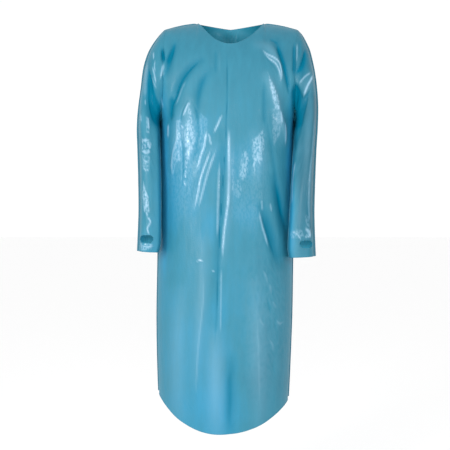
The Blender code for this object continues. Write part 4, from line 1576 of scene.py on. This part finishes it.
@dataclass
class Weld:
    """A flat weld of the two films along a seam's line.

    Each point of the line has its own width and the outward way that the weld stands there.
    """

    name: str
    line: Array
    outward: Array
    width: Array
    seed: int
    thickness: float = 0.00028
    tuck: float = 0.0008
    columns: int = 5
    wave: float = 0.0009
    wavelength: float = 0.028
    sway_power: float = 1.5
    tone: float = -0.2

    def build(self) -> Object:
        """The weld as a thin strip whose free edge waves a little."""
        out = np.linspace(0, 1, self.columns)[None, :, None]
        reach = -self.tuck + (self.width[:, None, None] + self.tuck) * out
        points = self.line[:, None, :] + self.outward[:, None, :] * reach
        along = walked(self.line[:, None, :], 0)[:, 0]
        wave = NoiseField(self.seed).at(along / self.wavelength, np.zeros_like(along))
        sway = self.wave * wave * np.minimum(self.width / self.width.max(), 1.0)
        points[..., 1] += sway[:, None] * out[..., 0] ** self.sway_power - self.thickness / 2
        normals = np.zeros_like(points)
        normals[..., 1] = -1.0
        turn = np.cross(np.gradient(points, axis=0), np.gradient(points, axis=1))[..., 1].mean()
        shade = np.full(points.shape[:2], self.tone)
        marks = {"tone": shade}
        marks.update((name, np.zeros_like(shade)) for name in ("crease", "gloss", "pressed"))
        return thin_shell(self.name, points, normals, self.thickness, flip=turn > 0, marks=marks)

    def crimp_line(self, narrowest: float) -> Array:
        """The middle line of the weld where it is at least so wide."""
        wide = self.width >= narrowest
        return (self.line + self.outward * self.width[:, None] / 2)[wide]


@dataclass(frozen=True)
class Seams:
    """Where the films are welded together, and how wide each weld is."""

    shoulder_width: float = 0.0025
    sleeve_width: float = 0.0060
    inner_width: float = 0.0016
    side_width: float = 0.0062
    narrowest: float = 0.0002
    side_grows_over: float = 0.022
    shoulder_points: int = 40
    shoulder_lean: float = 0.6
    neck_start: float = 0.02
    neck_share: float = 0.1
    widens_from: float = 0.12
    widens_over: float = 0.18
    inner_start_z: float = -0.30
    inner_grows_over: float = 0.12

    @staticmethod
    def across(line: Array, outwards: Sequence[float]) -> Array:
        """Unit directions square to a seam as seen from the front, on the side of outwards."""
        run = np.gradient(line, axis=0)
        out = np.stack([run[:, 2], np.zeros(len(run)), -run[:, 0]], axis=-1)
        out /= np.linalg.norm(out, axis=1, keepdims=True)
        return out * np.where(out @ np.array(outwards) < 0, -1.0, 1.0)[:, None]

    def side(self, panel: BodyPanel, side: Side) -> Weld:
        """The weld down a side of the body, from the underarm to the hem.

        Args:
            panel: The front panel, already built.
            side: The side.

        Returns:
            The weld.
        """
        column = -1 if side is Side.LEFT else 0
        line = panel.skin[panel.arm_rows :, column].copy()
        line[:, 1] = 0.0
        width = self.side_width * ease((UNDERARM_Z - line[:, 2]) / self.side_grows_over)
        width = np.maximum(width, self.narrowest)
        outward = self.across(line, (side.value, 0, 0))
        return Weld("side_weld_" + side.name.lower(), line, outward, width, seed=61 + side.value)

    def sleeve(self, form: SmockForm, panel: SleevePanel) -> Weld:
        """The weld from the neck over the shoulder and down the outside of a sleeve.

        Args:
            form: The smock's smooth form.
            panel: The front half of the sleeve, already built.

        Returns:
            The weld.
        """
        sign = panel.side.value
        columns = np.linspace(form.front_neck_share, 1, self.shoulder_points, endpoint=False)
        top = form.top_edge(columns, Face.FRONT)
        top[:, 0] = sign * top[:, 0] + lean(top[:, 2])
        arm = panel.skin[:, 0].copy()
        arm[:, 1] -= panel.face.value * panel.seam_gap / 2
        line = np.concatenate([top, arm[1:]])
        share = np.linspace(0, 1, len(line))
        growing = ease((share - self.widens_from) / self.widens_over)
        width = self.shoulder_width + (self.sleeve_width - self.shoulder_width) * growing
        width = width * np.maximum(ease(share / self.neck_start), self.neck_share)
        outward = self.across(line, (sign, 0, self.shoulder_lean))
        return Weld("sleeve_weld_" + panel.side.name.lower(), line, outward, width, seed=71 + sign)

    def inner(self, panel: SleevePanel) -> Weld:
        """The weld up the inside of a sleeve, which fades out towards the underarm.

        Args:
            panel: The front half of the sleeve, already built.

        Returns:
            The weld.
        """
        sign = panel.side.value
        line = panel.skin[:, -1].copy()
        line[:, 1] -= panel.face.value * panel.seam_gap / 2
        width = self.inner_width * ease((self.inner_start_z - line[:, 2]) / self.inner_grows_over)
        width = np.maximum(width, self.narrowest)
        outward = self.across(line, (-sign, 0, 0))
        return Weld("inner_weld_" + panel.side.name.lower(), line, outward, width, seed=81 + sign)


class NodeSet:
    """Short ways to add and join the nodes of one tree."""

    def __init__(self, tree: bpy.types.NodeTree) -> None:
        """Works on that tree."""
        self.tree = tree

    def join(self, value: object, socket: Socket) -> None:
        """Links another node's socket to this one, or sets a plain value on it."""
        if isinstance(value, Socket):
            self.tree.links.new(value, socket)
        else:
            socket.default_value = value

    def add(self, kind: str, inputs: dict[str | int, object], **settings: object) -> bpy.types.Node:
        """Adds a node.

        Args:
            kind: The node's type.
            inputs: A socket to link or a value to set, by the input's name or number.
            settings: The node's own settings.

        Returns:
            The node.
        """
        node = self.tree.nodes.new(kind)
        for name, value in settings.items():
            setattr(node, name, value)
        for name, value in inputs.items():
            self.join(value, node.inputs[name])
        return node


class NodeTree(NodeSet):
    """Builds a Geometry Nodes tree that ends in Realize Instances and Set Material."""

    def __init__(self, name: str, sizes: dict[str, float], material: Material) -> None:
        """Starts the tree.

        Args:
            name: The tree's name.
            sizes: Its named inputs, in metres, with their values.
            material: The material of what it makes.
        """
        super().__init__(bpy.data.node_groups.new(name, "GeometryNodeTree"))
        self.material = material
        self.sizes = sizes
        outside = self.tree.interface
        outside.new_socket("Geometry", in_out="INPUT", socket_type="NodeSocketGeometry")
        for size in sizes:
            outside.new_socket(size, in_out="INPUT", socket_type="NodeSocketFloat")
        outside.new_socket("Geometry", in_out="OUTPUT", socket_type="NodeSocketGeometry")
        self.given = self.add("NodeGroupInput", {}).outputs
        self.curve = self.add("GeometryNodeMeshToCurve", {"Mesh": self.given["Geometry"]}).outputs[0]

    def end(self, geometry: Socket) -> None:
        """Closes the tree on the geometry."""
        real = self.add("GeometryNodeRealizeInstances", {"Geometry": geometry})
        dressed = {"Geometry": real.outputs[0], "Material": self.material}
        self.add("NodeGroupOutput", {0: self.add("GeometryNodeSetMaterial", dressed).outputs[0]})

    def grow(self, name: str, lines: Sequence[Array]) -> Object:
        """Runs the tree along lines of points.

        Args:
            name: The new piece's name.
            lines: The lines to follow.

        Returns:
            The piece as a plain mesh.
        """
        vertices, edges = [], []
        for line in lines:
            first = len(vertices)
            vertices += line.tolist()
            edges += [(first + i, first + i + 1) for i in range(len(line) - 1)]
        mesh = bpy.data.meshes.new(name)
        mesh.from_pydata(vertices, edges, [])
        piece = placed(name, mesh)
        modifier = piece.modifiers.new(name, "NODES")
        modifier.node_group = self.tree
        for item in self.tree.interface.items_tree:
            if item.in_out == "INPUT" and item.name in self.sizes:
                modifier[item.identifier] = self.sizes[item.name]
        make_plain(piece)
        piece.data.shade_smooth()
        return piece


@dataclass(frozen=True)
class Trim:
    """Crimp marks along the welds, and beads round the cut edges."""

    crimp_pitch: float = 0.0040
    crimp_length: float = 0.0030
    crimp_radius: float = 0.00042
    crimp_narrowest: float = 0.0032
    bead_radius: float = 0.00042
    sides: int = 6

    def crimps(self, material: Material) -> NodeTree:
        """The tree that sets a small six-sided bar across the weld at each pitch.

        Args:
            material: The finish of the bars.

        Returns:
            The tree.
        """
        sizes = {"Pitch": self.crimp_pitch, "Length": self.crimp_length, "Radius": self.crimp_radius}
        tree = NodeTree("crimp_marks", sizes, material)
        spacing = {"Curve": tree.curve, "Length": tree.given["Pitch"]}
        spaced = tree.add("GeometryNodeResampleCurve", spacing, mode="LENGTH")
        size = {"Vertices": self.sides, "Radius": tree.given["Radius"], "Depth": tree.given["Length"]}
        bar = tree.add("GeometryNodeMeshCylinder", size)
        tangent = tree.add("GeometryNodeInputTangent", {})
        facing = {0: tangent.outputs[0], 1: (0, 1, 0)}
        across = tree.add("ShaderNodeVectorMath", facing, operation="CROSS_PRODUCT")
        turn = tree.add("FunctionNodeAlignRotationToVector", {"Vector": across.outputs[0]}, axis="Z")
        laid = {"Points": spaced.outputs[0], "Instance": bar.outputs["Mesh"], "Rotation": turn.outputs[0]}
        tree.end(tree.add("GeometryNodeInstanceOnPoints", laid).outputs[0])
        return tree

    def beads(self, material: Material) -> NodeTree:
        """The tree that rounds a cut edge with a thin bead.

        Args:
            material: The finish of the bead.

        Returns:
            The tree.
        """
        tree = NodeTree("edge_bead", {"Radius": self.bead_radius}, material)
        size = {"Resolution": self.sides, "Radius": tree.given["Radius"]}
        ring = tree.add("GeometryNodeCurvePrimitiveCircle", size)
        sweep = {"Curve": tree.curve, "Profile Curve": ring.outputs[0], "Fill Caps": True}
        tree.end(tree.add("GeometryNodeCurveToMesh", sweep).outputs[0])
        return tree


class Shading(NodeSet):
    """Short ways to build a material."""

    def __init__(self, name: str) -> None:
        """Starts a material of that name."""
        self.material = bpy.data.materials.new(name)
        self.material.use_nodes = True
        super().__init__(self.material.node_tree)

    def mark(self, name: str) -> Socket:
        """A value kept on the piece's points."""
        return self.add("ShaderNodeAttribute", {}, attribute_name=name).outputs["Fac"]

    def noise(self, scale: float, detail: float, drawn: float = 1.0) -> Socket:
        """A noise on the piece's own coordinates, drawn out in height by a number."""
        place = self.add("ShaderNodeTexCoord", {}).outputs["Object"]
        spread = self.add("ShaderNodeMapping", {"Vector": place, "Scale": (1, 1, 1 / drawn)})
        inputs = {"Vector": spread.outputs["Vector"], "Scale": scale, "Detail": detail}
        return self.add("ShaderNodeTexNoise", inputs).outputs["Fac"]

    def combine(self, operation: str, *values: object, clamp: bool = False) -> Socket:
        """Values and sockets put through one operation."""
        inputs = dict(enumerate(values))
        return self.add("ShaderNodeMath", inputs, operation=operation, use_clamp=clamp).outputs[0]

    def sum(self, value: Socket, times: float, plus: object) -> Socket:
        """A value times a number, plus another value, kept between 0 and 1."""
        return self.combine("MULTIPLY_ADD", value, times, plus, clamp=True)

    def ramp(self, value: Socket, colours: Sequence[Colour]) -> Socket:
        """Spreads colours evenly over a value.

        Args:
            value: The value, from 0 to 1.
            colours: The colours, from 0 upwards.

        Returns:
            The colour.
        """
        node = self.add("ShaderNodeValToRGB", {"Fac": value})
        stops = node.color_ramp.elements
        stops[0].color, stops[1].color = colours[0], colours[-1]
        for number, colour in enumerate(colours[1:-1], start=1):
            stops.new(number / (len(colours) - 1)).color = colour
        return node.outputs["Color"]

    def mix(self, share: Socket, under: Socket, over: Colour) -> Socket:
        """A share of one colour laid over another."""
        inputs = {"Factor": share, 6: under, 7: over}
        return self.add("ShaderNodeMix", inputs, data_type="RGBA").outputs[2]

    def bump(self, height: Socket, distance: float, under: Socket | None = None) -> Socket:
        """A bump of a real height, on top of another one."""
        inputs = {"Strength": 1.0, "Distance": distance, "Height": height}
        if under is not None:
            inputs["Normal"] = under
        return self.add("ShaderNodeBump", inputs).outputs["Normal"]

    def end(self, inputs: dict[str, object]) -> Material:
        """Joins values and sockets to the shader's inputs, and hands over the material."""
        shader = self.tree.nodes["Principled BSDF"]
        for name, value in inputs.items():
            self.join(value, shader.inputs[name])
        return self.material


@dataclass(frozen=True)
class FilmFinish:
    """Embossed film: matt where smooth, glossy where pulled or pressed, with painted shade in creases and
    painted sheen.
    """

    name: str
    dark: Colour = (0.009, 0.112, 0.170, 1.0)
    colour: Colour = (0.021, 0.182, 0.266, 1.0)
    light: Colour = (0.018, 0.232, 0.400, 1.0)
    # Painted shade for the troughs of the crease mark
    deep: Colour = (0.000, 0.135, 0.225, 1.0)
    # Painted sheen, laid over ridges and glossy patches like a broad pale highlight
    pale: Colour = (0.250, 0.440, 0.580, 1.0)
    # Painted shade on the inner skin
    inside: Colour = (0.016, 0.150, 0.220, 1.0)
    detail: float = 3.0
    cloud_scale: float = 11.0
    cloud_strength: float = 0.30
    streak_scale: float = 60.0
    streak_drawn: float = 6.0
    streak_strength: float = 0.30
    tone_share: float = 0.5
    ridge_sheen_share: float = 0.20
    gloss_paleness: float = 0.75
    crease_shade_share: float = 1.1
    line_evenness: float = 0.75
    mottle_scale: float = 190.0
    mottle_drawn: float = 1.8
    mottle_contrast: float = 5.0
    mottle_offset: float = -1.9
    roughness_low: float = 0.44
    roughness_high: float = 0.58
    specular_level: float = 0.32
    hollow_loss: float = 0.30
    matt_coat: float = 0.04
    glossy_coat: float = 0.50
    coat_roughness: float = 0.12
    crinkle_scale: float = 80.0
    crinkle_drawn: float = 3.0
    crinkle_height: float = 0.0008
    emboss_scale: float = 300.0
    emboss_detail: float = 1.0
    emboss_height: float = 0.00030

    def clouds(self, shading: Shading) -> Socket:
        """Broad clouds and fine upright streaks.

        Args:
            shading: The material in the making.

        Returns:
            Values about 0.5.
        """
        clouds = shading.noise(self.cloud_scale, self.detail)
        clouds = shading.sum(clouds, self.cloud_strength, 0.5 - self.cloud_strength / 2)
        clouds = shading.sum(clouds, 1.0, -self.streak_strength / 2)
        streaks = shading.noise(self.streak_scale, self.detail, self.streak_drawn)
        return shading.sum(streaks, self.streak_strength, clouds)

    def gloss(self, shading: Shading) -> Socket:
        """How glossy the film is: mottled where it is pressed, and more even along its creases.

        Args:
            shading: The material in the making.

        Returns:
            Gloss from 0 to 1.
        """
        mottling = shading.noise(self.mottle_scale, self.detail, self.mottle_drawn)
        mottling = shading.sum(mottling, self.mottle_contrast, self.mottle_offset)
        even = shading.sum(mottling, 1 - self.line_evenness, self.line_evenness)
        lines = shading.combine("MULTIPLY", shading.mark("gloss"), even)
        pressed = shading.combine("MULTIPLY", shading.mark("pressed"), mottling)
        return shading.combine("MAXIMUM", pressed, lines)

    def material(self) -> Material:
        """Builds the material."""
        shading = Shading(self.name)
        crease, clouds, gloss = shading.mark("crease"), self.clouds(shading), self.gloss(shading)
        # The tone mark carries painted light and shade; the clouds and streaks are the film's random tone
        tone = shading.sum(shading.mark("tone"), self.tone_share, clouds)
        colour = shading.ramp(tone, (self.dark, self.colour, self.light))
        # Painted sheen: ridges and glossy patches are mixed towards the pale colour, like a broad highlight
        painted_sheen_share = shading.sum(gloss, self.gloss_paleness, shading.sum(crease, self.ridge_sheen_share, 0.0))
        colour = shading.mix(painted_sheen_share, colour, self.pale)
        # Painted shade: the troughs of the crease mark take the deep colour
        colour = shading.mix(shading.sum(crease, -self.crease_shade_share, 0.0), colour, self.deep)
        # Painted shade and light on the inner skin, by each piece's inside colour
        colour = shading.mix(shading.mark("inside"), colour, self.inside)
        crinkle = shading.noise(self.crinkle_scale, self.detail, self.crinkle_drawn)
        crinkle = shading.bump(crinkle, self.crinkle_height)
        emboss = shading.noise(self.emboss_scale, self.emboss_detail)
        emboss = shading.bump(emboss, self.emboss_height, crinkle)
        return shading.end({
            "Base Color": colour,
            "Roughness": shading.sum(clouds, self.roughness_high - self.roughness_low, self.roughness_low),
            "Specular IOR Level": shading.sum(crease, self.hollow_loss, self.specular_level),
            "Coat Weight": shading.sum(gloss, self.glossy_coat - self.matt_coat, self.matt_coat),
            "Coat Roughness": self.coat_roughness,
            "Normal": emboss,
            "Coat Normal": emboss,
        })


@dataclass(frozen=True)
class Softbox:
    """A soft rectangular studio light aimed at the smock."""

    name: str
    azimuth: float
    elevation: float
    distance: float
    width: float
    height: float
    power: float

    def place(self, target: Vector) -> None:
        """Hangs the light round the target and turns it there.

        Args:
            target: The place that it lights.
        """
        a, e = math.radians(self.azimuth), math.radians(self.elevation)
        back = Vector((math.sin(a) * math.cos(e), -math.cos(a) * math.cos(e), math.sin(e)))
        light = bpy.data.lights.new(self.name, "AREA")
        light.shape = "RECTANGLE"
        light.size, light.size_y = self.width, self.height
        light.energy = self.power
        lamp = placed(self.name, light)
        lamp.location = target + back * self.distance
        lamp.rotation_euler = (-back).to_track_quat("-Z", "Y").to_euler()


@dataclass(frozen=True)
class Studio:
    """Floor, light and camera."""

    floor_z: float = -1.45
    floor_half_size: float = 60.0
    floor_cells: int = 8
    floor_colour: Colour = (0.95, 0.95, 0.95, 1.0)
    floor_roughness: float = 0.9
    world_colour: Colour = (1.0, 1.0, 1.0, 1.0)
    world_strength: float = 1.02
    target: Vector = Vector((0, -0.12, -0.45))
    camera_place: Vector = Vector((0, -2.6, -0.589))
    focal_pixels: float = 887.0
    frame_pixels: float = 450.0
    sensor: float = 36.0
    lights: tuple[Softbox, ...] = (
        Softbox("key_light", -34, 7, 2.2, 0.52, 0.60, 22.0),
        Softbox("fill_light", 33, 8, 2.2, 0.36, 0.44, 8.0),
        Softbox("front_light", 0, 12, 2.9, 0.80, 0.80, 12.0),
    )

    def floor(self) -> Object:
        """A plain pale floor under the smock."""
        cells = self.floor_cells
        bm = bmesh.new()
        bmesh.ops.create_grid(bm, x_segments=cells, y_segments=cells, size=self.floor_half_size)
        bmesh.ops.translate(bm, verts=bm.verts, vec=(0, 0, self.floor_z))
        mesh = bpy.data.meshes.new("floor")
        bm.to_mesh(mesh)
        bm.free()
        looks = {"Base Color": self.floor_colour, "Roughness": self.floor_roughness}
        mesh.materials.append(Shading("pale_floor").end(looks))
        return placed("floor", mesh)

    def camera(self) -> None:
        """The camera at the photograph's height, distance and angle."""
        data = bpy.data.cameras.new("camera")
        data.sensor_width = self.sensor
        data.lens = self.sensor * self.focal_pixels / self.frame_pixels
        camera = placed("camera", data)
        camera.location = self.camera_place
        camera.rotation_euler = (math.pi / 2, 0, 0)
        bpy.context.scene.camera = camera

    def build(self) -> None:
        """Sets up the whole studio."""
        world = bpy.data.worlds.new("studio")
        world.use_nodes = True
        background = world.node_tree.nodes["Background"]
        background.inputs["Color"].default_value = self.world_colour
        background.inputs["Strength"].default_value = self.world_strength
        scene = bpy.context.scene
        scene.world = world
        scene.view_settings.view_transform = "Standard"
        self.floor()
        for light in self.lights:
            light.place(self.target)
        self.camera()


def joined(front: Film, back: Film, row: int) -> Array:
    """The line round an opening at one row of a pair of panels, mid-film.

    Args:
        front: The panel in front, already built.
        back: The panel behind, already built.
        row: The row of both grids.

    Returns:
        A closed line of points.
    """
    near, far = front.skin[row].copy(), back.skin[row].copy()
    near[:, 1] += front.thickness / 2
    far[:, 1] -= back.thickness / 2
    if np.linalg.norm(near[-1] - far[-1]) < np.linalg.norm(near[-1] - far[0]):
        far = far[::-1]
    return np.concatenate([near, far, near[:1]])


def neck_line(form: SmockForm, front: BodyPanel, back: BodyPanel) -> Array:
    """The line round the neck opening, mid-film.

    Args:
        form: The smock's smooth form.
        front: The front panel, already built.
        back: The back panel, already built.

    Returns:
        A closed line of points.
    """
    parts = []
    for panel in (front, back):
        u = np.linspace(-1, 1, 2 * panel.half_columns + 1)
        edge = panel.skin[0][np.abs(u) <= form.neck_share(panel.face) + TINY].copy()
        edge[:, 1] -= panel.face.value * panel.thickness / 2
        parts.append(edge)
    return np.concatenate([parts[0], parts[1][::-1], parts[0][:1]])


@dataclass
class Smock:
    """The whole smock: its six panels, their welds and the beads round its cut edges."""

    form: SmockForm = SmockForm()
    thumb_slot: ThumbSlot = ThumbSlot()
    seams: Seams = Seams()
    trim: Trim = Trim()
    front_cut: Cut = Cut(0.56, 1.18, 0.570)
    back_cut: Cut = Cut(0.56, 1.18, 0.555)
    sleeve_cut: Cut = Cut(0.27, 0.68, 0.083)
    weld_colour: Colour = (0.030, 0.170, 0.240, 1.0)
    # Painted light on the inner skin of the back and of the back halves of the sleeves
    back_inside: Colour = (0.017, 0.250, 0.370, 1.0)
    sleeve_inside: Colour = (0.095, 0.600, 0.800, 1.0)

    def dress(self, piece: Object, material: Material) -> None:
        """Gives a piece its finish and fixes it to the frame.

        Args:
            piece: The piece.
            material: The finish.
        """
        piece.data.materials.clear()
        piece.data.materials.append(material)
        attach(piece, BODY)
        triangles = sum(len(face.vertices) - 2 for face in piece.data.polygons)
        LOG.info("%s: %d triangles", piece.name, triangles)

    def build_panel(self, panel: Film, slot: str, **finish: object) -> Object:
        """Makes one panel's film in place of its node.

        Args:
            panel: The panel.
            slot: Not used.
            finish: What its finish has of its own.

        Returns:
            The piece.
        """
        piece = panel.build(self.form)
        if isinstance(panel, SleevePanel) and panel.face is Face.FRONT:
            self.thumb_slot.cut(piece, self.form, panel.side)
        self.dress(piece, FilmFinish(panel.name + "_finish", **finish).material())
        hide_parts(panel.name)
        return piece

    def build_trim(
        self, name: str, welds: Sequence[Weld], edges: Sequence[Array]
    ) -> list[Object]:
        """Makes the welds of a panel with their crimp marks, and the beads of its edges.

        Args:
            name: The panel's name.
            welds: The welds.
            edges: The lines of the cut edges.

        Returns:
            The pieces.
        """
        finish = FilmFinish(name + "_weld_finish", colour=self.weld_colour).material()
        pieces = [weld.build() for weld in welds]
        lines = [weld.crimp_line(self.trim.crimp_narrowest) for weld in welds]
        lines = [line for line in lines if len(line) > 2]
        pieces.append(self.trim.crimps(finish).grow(name + "_crimps", lines))
        pieces.append(self.trim.beads(finish).grow(name + "_edge_bead", edges))
        for piece in pieces:
            self.dress(piece, finish)
        return pieces

    def build(self) -> None:
        """Makes all the pieces."""
        front = BodyPanel("front_panel", Cloth.FRONT, seed=11, cut=self.front_cut)
        back = BodyPanel(
            "back_panel", Cloth.BACK, seed=23, cut=self.back_cut,
            face=Face.BACK, half_columns=62, arm_rows=60, skirt_rows=170,
        )
        front_piece = self.build_panel(front, "front_film")
        back_piece = self.build_panel(back, "back_film", inside=self.back_inside)
        sides = [self.seams.side(front, side) for side in Side]
        edges = [neck_line(self.form, front, back), joined(front, back, -1)]
        trims = self.build_trim("body", sides, edges)
        for side in Side:
            word = side.name.lower()
            near = SleevePanel(
                "sleeve_front_" + word, Cloth.SLEEVE_FRONT, seed=31 + side.value, cut=self.sleeve_cut,
                side=side,
            )
            far = SleevePanel(
                "sleeve_back_" + word, Cloth.SLEEVE_BACK, seed=41 + side.value, cut=self.sleeve_cut,
                face=Face.BACK, side=side, rings=165, columns=48,
            )
            near_piece = self.build_panel(near, near.name + "_film")
            far_piece = self.build_panel(far, far.name + "_film", inside=self.sleeve_inside)
            welds = [self.seams.sleeve(self.form, near), self.seams.inner(near)]
            edges = [joined(near, far, -1), self.thumb_slot.rim(near, self.form)]
            trims = self.build_trim("sleeve_" + word, welds, edges)


def main() -> None:
    """Builds the smock on the frame, and the studio round it."""
    logging.basicConfig(level=logging.INFO, format="%(name)s: %(message)s")
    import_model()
    Smock().build()
    Studio().build()


if __name__ == "__main__":
    main()
